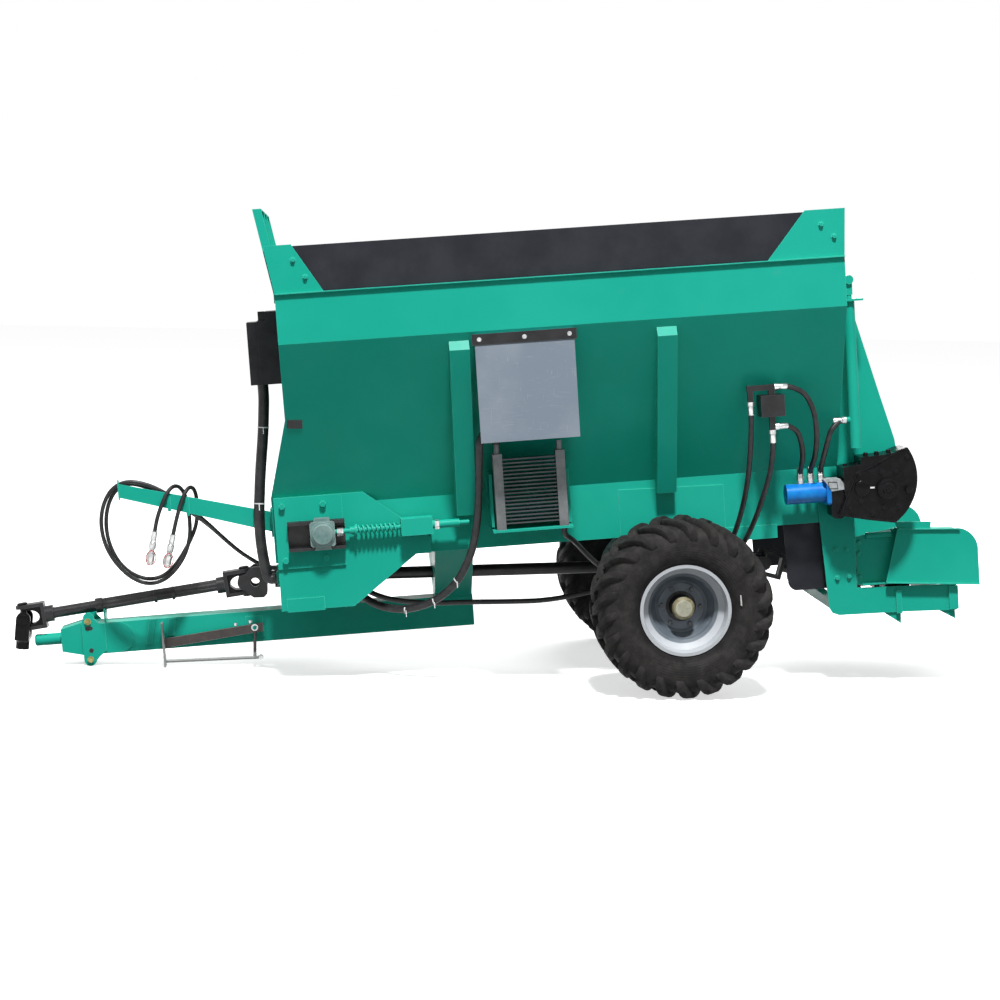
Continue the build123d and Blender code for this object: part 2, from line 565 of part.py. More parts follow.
def loop_place(distance):
    """Place and heading on the chain's loop, in the belt's plane, at a distance along it."""
    turn = pi * CHAIN_RADIUS
    distance %= 2 * (RUN_LENGTH + turn)
    if distance < RUN_LENGTH:
        return Location((distance, CHAIN_RADIUS), 0)
    if distance < RUN_LENGTH + turn:
        angle = pi / 2 - (distance - RUN_LENGTH) / CHAIN_RADIUS
        centre = RUN_LENGTH
    elif distance < 2 * RUN_LENGTH + turn:
        return Location((2 * RUN_LENGTH + turn - distance, -CHAIN_RADIUS), 180)
    else:
        angle = -pi / 2 - (distance - 2 * RUN_LENGTH - turn) / CHAIN_RADIUS
        centre = 0
    across = (centre + CHAIN_RADIUS * cos(angle), CHAIN_RADIUS * sin(angle))
    return Location(across, degrees(angle) - 90)


CHAIN_FLATS = 12


def wrap(radius, mode):
    """Both ends of the loop as flats, one link long, and the straight runs between them."""
    with Locations((0, 0), (RUN_LENGTH, 0)):
        RegularPolygon(radius, CHAIN_FLATS, major_radius=False, rotation=180 / CHAIN_FLATS, mode=mode)
    with Locations((RUN_LENGTH / 2, 0)):
        Rectangle(RUN_LENGTH, 2 * radius, mode=mode)


with BuildPart() as conveyor:
    for chain_y in (-CHAIN_Y, CHAIN_Y):
        with BuildSketch(BELT_PLANE.offset(-chain_y - CHAIN_WIDE / 2)):
            wrap(CHAIN_RADIUS + CHAIN_THICK / 2, Mode.ADD)
            wrap(CHAIN_RADIUS - CHAIN_THICK / 2, Mode.SUBTRACT)
        extrude(amount=CHAIN_WIDE)
    loop_length = 2 * (RUN_LENGTH + pi * CHAIN_RADIUS)
    with BuildSketch(BELT_PLANE.offset(-SLAT_HALF)):
        for slat in range(SLATS):
            with Locations(loop_place((slat + 0.5) * loop_length / SLATS)):
                with Locations((0, SLAT_TALL / 2 - 3)):
                    Rectangle(SLAT_WIDE, SLAT_TALL)
    extrude(amount=2 * SLAT_HALF)

SPROCKET_R, SHAFT_R, SHAFT_HALF = CHAIN_RADIUS - CHAIN_THICK / 2, 25, 625

with BuildPart() as conveyor_shafts:
    for centre_x in (0, RUN_LENGTH):
        with BuildSketch(BELT_PLANE.offset(-SHAFT_HALF)):
            with Locations((centre_x, 0)):
                Circle(SHAFT_R)
        extrude(amount=2 * SHAFT_HALF)
        for chain_y in (-CHAIN_Y, CHAIN_Y):
            with BuildSketch(BELT_PLANE.offset(chain_y - 10)):
                with Locations((centre_x, 0)):
                    RegularPolygon(SPROCKET_R, CHAIN_FLATS, major_radius=False, rotation=180 / CHAIN_FLATS)
            extrude(amount=20)
            # hub of the sprocket on its shaft
            with BuildSketch(BELT_PLANE.offset(chain_y - 32)):
                with Locations((centre_x, 0)):
                    Circle(SHAFT_R + 15)
            extrude(amount=64)

# ======================== front tensioners ========================
GUIDE_Y, GUIDE_THICK = GUSSET_Y + GUSSET_THICK, 12
GUIDE = ((1607, 296), (1939, 296), (1939, 648), (1607, 648))
GUIDE_BOLTS = ((1900, 606), (1700, 606), (1900, 338), (1700, 338))
BLOCK_X, BLOCK_Z, BLOCK_LOW_Z, BLOCK_TOP_Z = 1650, 1772, 400, 524
ROD_REAR_X, ROD_FRONT_X = 991, 1650
SPRING_REAR_X, SPRING_FRONT_X, SPRING_R, WIRE_R, SPRING_TURNS = 1332, 1542, 25, 5, 9
with BuildPart() as tensioner_guides:
    with BuildSketch(side_plane(GUIDE_Y + GUIDE_THICK)):
        Polygon(*GUIDE, align=None)
        with Locations(((WINDOW_REAR_X + WINDOW_FRONT_X) / 2, (WINDOW_LOW_Z + WINDOW_TOP_Z) / 2)):
            Rectangle(WINDOW_FRONT_X - WINDOW_REAR_X, WINDOW_TOP_Z - WINDOW_LOW_Z, mode=Mode.SUBTRACT)
    extrude(amount=GUIDE_THICK)
    with BuildSketch(side_plane(GUIDE_Y + GUIDE_THICK + 22)):
        with Locations(*GUIDE_BOLTS):
            RegularPolygon(15, 6)
    extrude(amount=22)
    mirror(about=Plane.XZ)

with BuildPart() as tensioner_bearings:
    with BuildSketch(side_plane(630)):
        with Locations(((BLOCK_X + BLOCK_Z) / 2, (BLOCK_LOW_Z + BLOCK_TOP_Z) / 2)):
            RectangleRounded(BLOCK_Z - BLOCK_X, BLOCK_TOP_Z - BLOCK_LOW_Z, 14)
    extrude(amount=60)
    with BuildSketch(side_plane(652)):
        with Locations(SHAFT_FRONT):
            Circle(46)
    extrude(amount=22)
    with BuildSketch(side_plane(SHAFT_HALF)):
        with Locations(SHAFT_FRONT):
            Circle(SHAFT_R)
    extrude(amount=SHAFT_HALF, mode=Mode.SUBTRACT)
    mirror(about=Plane.XZ)

with BuildPart() as tensioner_rods:
    # pull rod, the collar and nut at the spring's front end, and the stop tube behind the anchor
    for start_x, end_x, radius in (
        (ROD_REAR_X, ROD_FRONT_X, PULL_ROD_R), (SPRING_FRONT_X, SPRING_FRONT_X + 10, 31),
        (SPRING_FRONT_X + 10, SPRING_FRONT_X + 34, 20), (1040, ANCHOR_REAR_X, 20),
    ):
        with BuildSketch(Plane.YZ.offset(start_x)):
            with Locations((ROD_Y, ROD_Z)):
                Circle(radius)
        extrude(amount=end_x - start_x)
    mirror(about=Plane.XZ)

with BuildPart() as tensioner_springs:
    with BuildLine():
        coil = Helix(
            pitch=(SPRING_FRONT_X - SPRING_REAR_X - 2 * WIRE_R - 4) / SPRING_TURNS,
            height=SPRING_FRONT_X - SPRING_REAR_X - 2 * WIRE_R - 4,
            radius=SPRING_R - WIRE_R,
            center=(SPRING_REAR_X + WIRE_R + 2, ROD_Y, ROD_Z),
            direction=(1, 0, 0),
        )
    with BuildSketch(Plane(origin=coil @ 0, z_dir=coil % 0)):
        RegularPolygon(WIRE_R, 6)
    sweep(is_frenet=True)
    mirror(about=Plane.XZ)

# ======================== oil cooler ========================
COOLER_Y, COOLER_DEEP = 690, 60
TANK_LOW_Z, TANK_TOP_Z, TANK_WIDE = 430, 800, 45
COOLER_REAR_X, COOLER_FRONT_X, FINS = 515, 865, 18
VISOR_Y, VISOR_TOP_Y = 925, 938

with BuildPart() as oil_cooler:
    for tank_x in (COOLER_REAR_X, COOLER_FRONT_X - TANK_WIDE):
        with BuildSketch(side_plane(COOLER_Y + COOLER_DEEP)):
            with Locations((tank_x + TANK_WIDE / 2, (TANK_LOW_Z + TANK_TOP_Z) / 2)):
                Rectangle(TANK_WIDE, TANK_TOP_Z - TANK_LOW_Z)
        extrude(amount=COOLER_DEEP)
        with BuildSketch(Plane.XY.offset(TANK_TOP_Z)):
            with Locations((tank_x + TANK_WIDE / 2, COOLER_Y + COOLER_DEEP / 2)):
                Circle(15)
        extrude(amount=46)
    fin_pitch = (TANK_TOP_Z - TANK_LOW_Z - 40) / FINS
    for fin in range(FINS):
        with BuildSketch(side_plane(COOLER_Y + COOLER_DEEP - 8)):
            with Locations(((COOLER_REAR_X + COOLER_FRONT_X) / 2, TANK_LOW_Z + 20 + (fin + 0.5) * fin_pitch)):
                Rectangle(COOLER_FRONT_X - COOLER_REAR_X - 2 * TANK_WIDE, 7)
        extrude(amount=COOLER_DEEP - 16)

with BuildPart() as cooler_bracket:
    # ledge under the tanks and a back frame welded to the hopper's side
    with BuildSketch(side_plane(COOLER_Y + COOLER_DEEP + 4)):
        with Locations(((COOLER_REAR_X + COOLER_FRONT_X) / 2, TANK_LOW_Z - 6)):
            Rectangle(COOLER_FRONT_X - COOLER_REAR_X + 40, 12)
    extrude(amount=COOLER_Y + COOLER_DEEP + 4 - TROUGH_HALF)
    for strut_x in (COOLER_REAR_X - 14, COOLER_FRONT_X + 14):
        with BuildSketch(Plane.YZ.offset(strut_x - 6)):
            Polygon((TROUGH_HALF, 440), (COOLER_Y, 440), (COOLER_Y, 700), (half_width(700), 700),
                    (TROUGH_HALF, TROUGH_Z), align=None)
        extrude(amount=12)

with BuildPart() as cooler_visor:
    with BuildSketch(Plane.YZ.offset(452)):
        Polygon(
            (half_width(1390), 1390), (VISOR_TOP_Y, 1390), (VISOR_TOP_Y, 1335), (VISOR_Y - 4, 872),
            (VISOR_Y - 8, 872), (VISOR_TOP_Y - 4, 1334), (VISOR_TOP_Y - 4, 1386),
            (half_width(1386), 1386), align=None)
    extrude(amount=475)

# ======================== control box, hoses and their arm ========================
BOX_Y, BOX_HALF, BOX_LOW_Z, BOX_SHOULDER_Z, BOX_TOP_Z = 350, 110, 1200, 1512, 1556
BOX_FRONT_X, COVER_X = 1957, 2008

with BuildPart() as control_box:
    with BuildSketch(side_plane(BOX_Y + BOX_HALF)):
        Polygon((FRONT_X, BOX_LOW_Z), (BOX_FRONT_X, BOX_LOW_Z), (BOX_FRONT_X, BOX_SHOULDER_Z),
                (1915, BOX_SHOULDER_Z), (1915, BOX_TOP_Z), (FRONT_X, BOX_TOP_Z), align=None)
    extrude(amount=2 * BOX_HALF)
    with BuildSketch(side_plane(BOX_Y + BOX_HALF - 14)):
        Polygon((1915, BOX_SHOULDER_Z), (1949, BOX_SHOULDER_Z), (1949, BOX_TOP_Z + 3),
                (1915, BOX_TOP_Z + 3), align=None)
    extrude(amount=6)
    # cover in front
    with BuildSketch(side_plane(BOX_Y + BOX_HALF - 14)):
        Polygon((BOX_FRONT_X, BOX_LOW_Z), (COVER_X, BOX_LOW_Z), (COVER_X, BOX_SHOULDER_Z - 5),
                (BOX_FRONT_X, BOX_SHOULDER_Z - 4), align=None)
    extrude(amount=2 * BOX_HALF - 28)

SLEEVE_D = 54
SLEEVE = ((1952, 350, BOX_LOW_Z), (1952, 350, 1130), (1968, 356, 960), (1998, 372, 760), (2018, 392, 570),
          (2022, 394, 440), (2014, 394, 330), (1998, 394, 232), (1955, 394, 232))
COOLER_HOSE_D = 38
HOSE_D = 26


def lay_hose(points, diameter):
    """Sweep a round hose along straight runs joined by tangent arcs, into the part in hand."""
    with BuildLine():
        line = FilletPolyline(*points, radius=bend_radii(points))
    with BuildSketch(Plane(origin=line @ 0, z_dir=line % 0)) as section:
        Circle(diameter / 2)
    sweep(section.sketch, path=line)


with BuildPart() as front_sleeve:
    lay_hose(SLEEVE, SLEEVE_D)

COOLER_HOSES = (
    ((842.5, 720, 846), (842.5, 720, 900), (880, 766, 935), (928, 812, 880), (936, 796, 780),
     (942, 740, 640), (952, 690, 500), (985, 650, 330), (1070, 615, 170), (1190, 585, 80),
     (1330, 520, 40), (1480, 420, 60), (1640, 320, 200), (1800, 300, 200), (1929, 300, 200)),
)

with BuildPart() as cooler_hoses:
    for route_points in COOLER_HOSES:
        lay_hose(route_points, COOLER_HOSE_D)

ARM_Y, ARM_THICK, ARM_TIP_X = 350, 10, 2697
ARM = ((NOSE_X, 560), (NOSE_X, 459), (ARM_TIP_X, 686), (ARM_TIP_X, 754))
ARM_HOOKS = ((2369, 574, 664), (2459, 602, 680))  # X, low Z, high Z

with BuildPart() as hose_arm:
    with BuildSketch(side_plane(ARM_Y + ARM_THICK / 2)):
        Polygon(*ARM, align=None)
    extrude(amount=ARM_THICK)
    # flange at the tip, hooks for the resting hoses, and the plate at the root
    with BuildSketch(Plane.YZ.offset(ARM_TIP_X)):
        with Locations((ARM_Y + 11, 726)):
            Rectangle(30, 100)
    extrude(amount=6)
    for hook_x, hook_low_z, hook_high_z in ARM_HOOKS:
        with BuildSketch(side_plane(ARM_Y + ARM_THICK / 2 + 8)):
            with Locations((hook_x, (hook_low_z + hook_high_z) / 2)):
                Rectangle(16, hook_high_z - hook_low_z)
        extrude(amount=8)
    with BuildSketch(Plane.YZ.offset(NOSE_X)):
        with Locations((ARM_Y, (ARM[0][1] + ARM[1][1]) / 2)):
            Rectangle(90, 140)
    extrude(amount=12)

# ======================== drive shafts ========================
EAR_IN, EAR_OUT, EAR_R, EAR_BACK, TRUNNION_R = 48, 66, 36, 92, 16
TUBE_R, YOKE_NECK_R = 28, 42
WIDE_PIN_R, OUTER_TUBE = 42, 590
WIDE_EAR = (
    (-EAR_BACK - 18, -60), (-EAR_BACK - 18, 60), (-EAR_BACK, 79), (-40, 79), (-16, 62), (0, WIDE_PIN_R),
    (0, -WIDE_PIN_R), (-16, -62), (-40, -79), (-EAR_BACK, -79),
)

shaft_heading = Vector(JOINT_FRONT[0] - JOINT_REAR[0], 0, JOINT_FRONT[1] - JOINT_REAR[1])
SHAFT_LENGTH = shaft_heading.length
SHAFT_PLANE = Plane(origin=(JOINT_REAR[0], 0, JOINT_REAR[1]), x_dir=(0, 1, 0), z_dir=shaft_heading)
DRIVE_HEADING = Vector(1, 0, DRIVE_SLOPE)


def fork(axis_plane, toward):
    """Two ears about the origin of a plane, along its X, joined by a neck on one side of it."""
    for start in (EAR_IN, -EAR_OUT):
        with BuildSketch(axis_plane.offset(start)) as ear:
            Circle(EAR_R)
            with Locations((toward * EAR_BACK / 2, 0)):
                Rectangle(EAR_BACK, 2 * EAR_R)
        extrude(ear.sketch, amount=EAR_OUT - EAR_IN)
    with BuildSketch(axis_plane.offset(-EAR_OUT)) as yoke_back:
        with Locations((toward * (EAR_BACK + 9), 0)):
            Rectangle(18, 2 * EAR_R)
    extrude(yoke_back.sketch, amount=2 * EAR_OUT)


def cross(axis_plane, half):
    """One pin of a universal joint's cross, along the plane's normal."""
    with BuildSketch(axis_plane.offset(-half)) as pin:
        Circle(TRUNNION_R)
    extrude(pin.sketch, amount=2 * half)


REAR_SIDE = Plane(origin=SHAFT_PLANE.origin, x_dir=shaft_heading, z_dir=(0, -1, 0))
REAR_TOP = Plane(origin=SHAFT_PLANE.origin, x_dir=shaft_heading, z_dir=SHAFT_PLANE.y_dir)
FRONT_ORIGIN = (JOINT_FRONT[0], 0, JOINT_FRONT[1])
FRONT_TOP = Plane(origin=FRONT_ORIGIN, x_dir=shaft_heading, z_dir=SHAFT_PLANE.y_dir)
DROOP = 81
YOKE_HEADING = Vector(cos(radians(DROOP)), 0, -sin(radians(DROOP)))
YOKE_SIDE = Plane(origin=FRONT_ORIGIN, x_dir=YOKE_HEADING, z_dir=(0, -1, 0))
INPUT_SIDE = Plane(origin=SHAFT_PLANE.origin, x_dir=DRIVE_HEADING, z_dir=(0, -1, 0))

UNDER_JOINTS = ((-560, 0, 70), (-958, 0, DECK_Z - DECK_THICK - 45))
UNDER_HEADING = Vector(*UNDER_JOINTS[0]) - Vector(*UNDER_JOINTS[1])
UNDER_SIDE = Plane(origin=UNDER_JOINTS[0], x_dir=DRIVE_HEADING, z_dir=(0, -1, 0))
UNDER_TOP = Plane(origin=UNDER_JOINTS[0], x_dir=UNDER_HEADING, z_dir=UNDER_HEADING.cross(Vector(0, 1, 0)))
LAST_SIDE = Plane(origin=UNDER_JOINTS[1], x_dir=UNDER_HEADING, z_dir=(0, -1, 0))
LAST_TOP = Plane(origin=UNDER_JOINTS[1], x_dir=(1, 0, 0), z_dir=(0, 0, 1))

with BuildPart() as driveline:
    # bearing housing in the front plate, input yoke, and the shaft under the trough
    with BuildSketch(Plane(origin=(INPUT_X - 50, 0, drive_z(INPUT_X - 50)), z_dir=DRIVE_HEADING)):
        Circle(57)
    extrude(amount=60)
    with BuildSketch(Plane.YZ.offset(1939)):
        with Locations((0, drive_z(1939))):
            Circle(84)
    extrude(amount=12)
    # broad windowed ears of the wide-angle joint
    for start in (EAR_IN, -EAR_OUT):
        with BuildSketch(INPUT_SIDE.offset(start)):
            Polygon(*WIDE_EAR, align=None)
            Circle(WIDE_PIN_R)
            with Locations((-WIDE_PIN_R - 7, 0)):
                Circle(23, mode=Mode.SUBTRACT)
        extrude(amount=EAR_OUT - EAR_IN)
    with BuildSketch(INPUT_SIDE.offset(-EAR_OUT)):
        with Locations((-EAR_BACK - 9, 0)):
            Rectangle(18, 120)
    extrude(amount=2 * EAR_OUT)
    with BuildSketch(Plane(origin=(DRIVE_REAR_X, 0, drive_z(DRIVE_REAR_X)), z_dir=DRIVE_HEADING)):
        Circle(31)
    extrude(amount=INPUT_X + 60 - DRIVE_REAR_X)
    # jointed shaft from there down to the spinners' gearbox
    fork(UNDER_SIDE, 1)
    cross(UNDER_SIDE, EAR_OUT)
    fork(UNDER_TOP, -1)
    cross(UNDER_TOP, EAR_OUT)
    with BuildSketch(Plane(origin=UNDER_JOINTS[1], z_dir=UNDER_HEADING).offset(EAR_BACK + 18)):
        Circle(25)
    extrude(amount=UNDER_HEADING.length - 2 * EAR_BACK - 36)
    fork(LAST_SIDE, 1)
    cross(LAST_SIDE, EAR_OUT)
    fork(LAST_TOP, -1)
    cross(LAST_TOP, EAR_OUT)

with BuildPart() as pto_shaft:
    fork(REAR_TOP, 1)
    cross(REAR_TOP, EAR_OUT)
    cross(REAR_SIDE, EAR_IN - 1)
    with BuildSketch(SHAFT_PLANE.offset(EAR_BACK + 18)):
        Circle(YOKE_NECK_R)
    extrude(amount=40)
    # lobed outer tube, and the inner one that telescopes in it
    with BuildSketch(SHAFT_PLANE.offset(EAR_BACK + 58)):
        Circle(27)
        with PolarLocations(22, 3, start_angle=90):
            Circle(11)
    extrude(amount=OUTER_TUBE)
    with BuildSketch(SHAFT_PLANE.offset(EAR_BACK + 58 + OUTER_TUBE)):
        Circle(38)
    extrude(amount=34)
    with BuildSketch(SHAFT_PLANE.offset(EAR_BACK + 58 + OUTER_TUBE)):
        Circle(TUBE_R)
    extrude(amount=SHAFT_LENGTH - 2 * (EAR_BACK + 58) - OUTER_TUBE)
    with BuildSketch(SHAFT_PLANE.offset(SHAFT_LENGTH - EAR_BACK - 58)):
        Circle(YOKE_NECK_R)
    extrude(amount=40)
    fork(FRONT_TOP, -1)
    cross(FRONT_TOP, EAR_OUT)
    cross(YOKE_SIDE, EAR_IN - 1)

with BuildPart() as pto_yoke:
    fork(YOKE_SIDE, 1)
    with BuildSketch(Plane(origin=YOKE_SIDE.origin, z_dir=YOKE_HEADING).offset(EAR_BACK + 18)):
        Circle(34)
    extrude(amount=50)
    with BuildSketch(Plane(origin=YOKE_SIDE.origin, z_dir=YOKE_HEADING).offset(EAR_BACK)):
        Circle(18)
    extrude(amount=80, mode=Mode.SUBTRACT)

# ======================== rear drive ========================
GEARBOX_IN_Y, GEARBOX_OUT_Y, ADAPTOR_Y = 540, 716, 695
MOTOR_Y, MOTOR_Z, MOTOR_R, MOTOR_REAR_X, MOTOR_FRONT_X = 640, 487, 50, -794, -577

with BuildPart() as conveyor_gearbox:
    with BuildSketch(side_plane(GEARBOX_OUT_Y)):
        with BuildLine():
            Polyline((-1105, 319), (-967, 343), (-822, 373), (-877, 483), (-922, 578), (-997, 603),
                     (-1130, 670), (-1181, 684))
            ThreePointArc((-1181, 684), (-1220, 498), (-1105, 319))
        make_face()
        with Locations(SHAFT_REAR):
            Circle(SHAFT_R, mode=Mode.SUBTRACT)
    extrude(amount=GEARBOX_OUT_Y - GEARBOX_IN_Y)
    # cover of the shaft, and a plug beside it
    for boss_x, boss_z, boss_r in ((SHAFT_REAR[0], SHAFT_REAR[1], 52), (-1174, 477, 16)):
        with BuildSketch(side_plane(GEARBOX_OUT_Y + 26)):
            with Locations((boss_x, boss_z)):
                Circle(boss_r)
        extrude(amount=26)
    # adaptor that carries the motor
    with BuildSketch(side_plane(ADAPTOR_Y)):
        Polygon((MOTOR_REAR_X, 553), (-846, 553), (-859, 540), (-859, 372), (-845, 356), (-812, 356),
                (MOTOR_REAR_X, 372), align=None)
    extrude(amount=2 * (ADAPTOR_Y - MOTOR_Y))

MOTOR_PORT_Z = 560
MOTOR_PORTS = (-757, -706, -655)

with BuildPart() as hydraulic_motor:
    with BuildSketch(Plane.YZ.offset(MOTOR_REAR_X)):
        with Locations((MOTOR_Y, MOTOR_Z)):
            RectangleRounded(124, 124, 16)
    extrude(amount=22)
    with BuildSketch(Plane.YZ.offset(MOTOR_REAR_X)):
        with Locations((MOTOR_Y, MOTOR_Z)):
            Circle(MOTOR_R)
    extrude(amount=MOTOR_FRONT_X - MOTOR_REAR_X)
    with BuildSketch(Plane.XY.offset(MOTOR_Z)):
        for port_x in MOTOR_PORTS:
            with Locations((port_x, MOTOR_Y)):
                Circle(17)
    extrude(amount=MOTOR_PORT_Z - MOTOR_Z)

VALVE_X, VALVE_Z = -503, 944

with BuildPart() as valve_block:
    with BuildSketch(side_plane(830)):
        with Locations((VALVE_X, VALVE_Z)):
            Rectangle(116, 104)
    extrude(amount=830 - half_width(VALVE_Z + 52))
    with BuildSketch(side_plane(812)):
        with Locations((VALVE_X, 1022)):
            Rectangle(30, 52)
        with Locations((-450, 1034)):
            Rectangle(136, 26)
        with Locations((-399, 1000)):
            Rectangle(26, 60)
        with Locations((VALVE_X + 4, 860)):
            Rectangle(26, 66)
    extrude(amount=26)

REAR_HOSES = (
    ((-518, 799, 1034), (-590, 799, 1034), (-668, 798, 996), (-712, 792, 900), (-722, 776, 785),
     (-716, 738, 680), (-706, 672, 615), (-706, 640, 590), (-706, 640, MOTOR_PORT_Z)),
    ((-512, 799, 842), (-575, 799, 842), (-624, 784, 812), (-650, 758, 736), (-656, 716, 660),
     (-655, 662, 612), (-655, 640, 590), (-655, 640, MOTOR_PORT_Z)),
    ((-399, 799, 970), (-399, 799, 890), (-394, 764, 740), (-380, 700, 560), (-352, 634, 410),
     (-316, 584, 290), (-262, 520, 205), (-170, 450, 150), (-60, 390, 120), (80, 360, 100), (230, 392, 110),
     (350, 490, 180), (430, 600, 270), (490, 690, 345), (537, 720, 384), (537, 720, 418)),
    ((-499, 799, 827), (-499, 799, 750), (-488, 756, 620), (-452, 690, 480), (-410, 628, 350),
     (-360, 574, 240), (-290, 500, 165), (-180, 400, 125), (-30, 310, 95), (150, 260, 60), (360, 230, 20),
     (600, 230, -10), (830, 250, 5), (1010, 300, 25), (1230, 340, 40), (1440, 330, 80), (1640, 262, 200),
     (1800, 240, 200), (1929, 240, 200)),
    ((-886, 690, 839), (-858, 690, 839), (-806, 708, 800), (-770, 706, 690), (-757, 664, 615),
     (-757, 640, 590), (-757, 640, MOTOR_PORT_Z)),
)

with BuildPart() as rear_hoses:
    for route_points in REAR_HOSES:
        lay_hose(route_points, HOSE_D)

# ======================== gate ========================
with BuildPart() as gate_cylinders:
    with BuildSketch(Plane.XY.offset(BARREL_LOW_Z)):
        with Locations((BAR_X, CYLINDER_Y)):
            Circle(BARREL_R)
    extrude(amount=BARREL_TOP_Z - BARREL_LOW_Z)
    with BuildSketch(Plane.XY.offset(BARREL_LOW_Z + 30)):
        with Locations((BAR_X, CYLINDER_Y)):
            Circle(BORE_R)
    extrude(amount=BARREL_TOP_Z, mode=Mode.SUBTRACT)
    with BuildSketch(Plane.YZ.offset(BAR_X + BARREL_R - 6)):
        with Locations((CYLINDER_Y, 839)):
            Circle(15)
    extrude(amount=-886 - BAR_X - BARREL_R + 6)
    mirror(about=Plane.XZ)

with BuildPart() as gate:
    with BuildSketch(Plane.XY.offset(GATE_LOW_Z)):
        with Locations((GATE_X, 0)):
            Rectangle(GATE_THICK, 2 * GATE_HALF)
    extrude(amount=GATE_TOP_Z - GATE_LOW_Z)
    # two stiffeners that carry the lifting bar
    for side in (-1, 1):
        with BuildSketch(Plane.XY.offset(GATE_LOW_Z + 20)):
            with Locations((GATE_X - GATE_THICK / 2 - 14, side * 400)):
                Rectangle(28, 44)
        extrude(amount=BAR_Z - GATE_LOW_Z - 20)
    with BuildSketch(side_plane(CYLINDER_Y + 30)):
        with Locations((BAR_X, BAR_Z)):
            Circle(BAR_R)
    extrude(amount=2 * (CYLINDER_Y + 30))
    # cylinder rods, screwed into blocks under the bar
    for side in (-1, 1):
        with BuildSketch(Plane.XY.offset(BAR_Z - 74)):
            with Locations((BAR_X, side * CYLINDER_Y)):
                Rectangle(34, 34)
        extrude(amount=74)
        with BuildSketch(Plane.XY.offset(BARREL_LOW_Z + 60)):
            with Locations((BAR_X, side * CYLINDER_Y)):
                Circle(ROD_R)
        extrude(amount=BAR_Z - 74 - BARREL_LOW_Z - 60)

CHEEK_THICK = 6
CHEEK = ((REAR_X, 440), (-1100, 440), (-1171, 500), (-1171, 651), (-1164, 713), (-1100, 938), (-988, 1348),
         (REAR_X, 1348))

with BuildPart() as rear_cheeks:
    with BuildSketch(side_plane(TROUGH_HALF + CHEEK_THICK)):
        Polygon(*CHEEK, align=None)
        with Locations(SHAFT_REAR):
            Circle(SHAFT_R, mode=Mode.SUBTRACT)
    extrude(amount=CHEEK_THICK)
    mirror(about=Plane.XZ)

# ======================== spinner deck ========================
DECK_PLATE_THICK = 10
DECK_SIDE = (
    (-757, 432), (-940, 438), (-936, -22), (-1443, -40), (-1441, -172), (-1186, -161), (-838, -153),
    (-806, -140), (-790, -110),
)
DECK_REAR_X, DECK_FRONT_X = -1440, -960
DECK_FEET = (((-1056, -150), (-1154, -221), (-1156, -150)), ((-1319, -150), (-1433, -218), (-1432, -150)))

with BuildPart() as deck_frame:
    with BuildSketch(side_plane(TROUGH_HALF + DECK_PLATE_THICK)):
        Polygon(*DECK_SIDE, align=None)
    extrude(amount=DECK_PLATE_THICK)
    # feet welded inside the side plates, and upright brackets outside them
    with BuildSketch(side_plane(TROUGH_HALF)):
        for foot in DECK_FEET:
            Polygon(*foot, align=None)
    extrude(amount=8)
    for bracket_x, bracket_wide in ((-1144, 28), (-1424, 46)):
        with BuildSketch(side_plane(TROUGH_HALF + DECK_PLATE_THICK + 14)):
            with Locations((bracket_x, -106)):
                Rectangle(bracket_wide, 118)
        extrude(amount=14)
    mirror(about=Plane.XZ)
    with BuildSketch(Plane.XY.offset(DECK_Z - DECK_THICK)):
        with Locations(((DECK_FRONT_X + DECK_REAR_X) / 2, 0)):
            Rectangle(DECK_FRONT_X - DECK_REAR_X, 2 * TROUGH_HALF)
        with Locations((DECK_FRONT_X, 0)):
            Rectangle(240, 160, mode=Mode.SUBTRACT)
        for side in (-1, 1):
            with Locations((DISC_X, side * DISC_Y)):
                Circle(32, mode=Mode.SUBTRACT)
    extrude(amount=DECK_THICK)
    # cross tubes in front of the deck and under its rear edge
    for tube_x in (-850, DECK_REAR_X + 30):
        with BuildSketch(side_plane(TROUGH_HALF)):
            with Locations((tube_x, -115)):
                Rectangle(50, 50)
        extrude(amount=2 * TROUGH_HALF)

GUARD_Y, INNER_Y, TUBE_END_R = 560, 500, 16

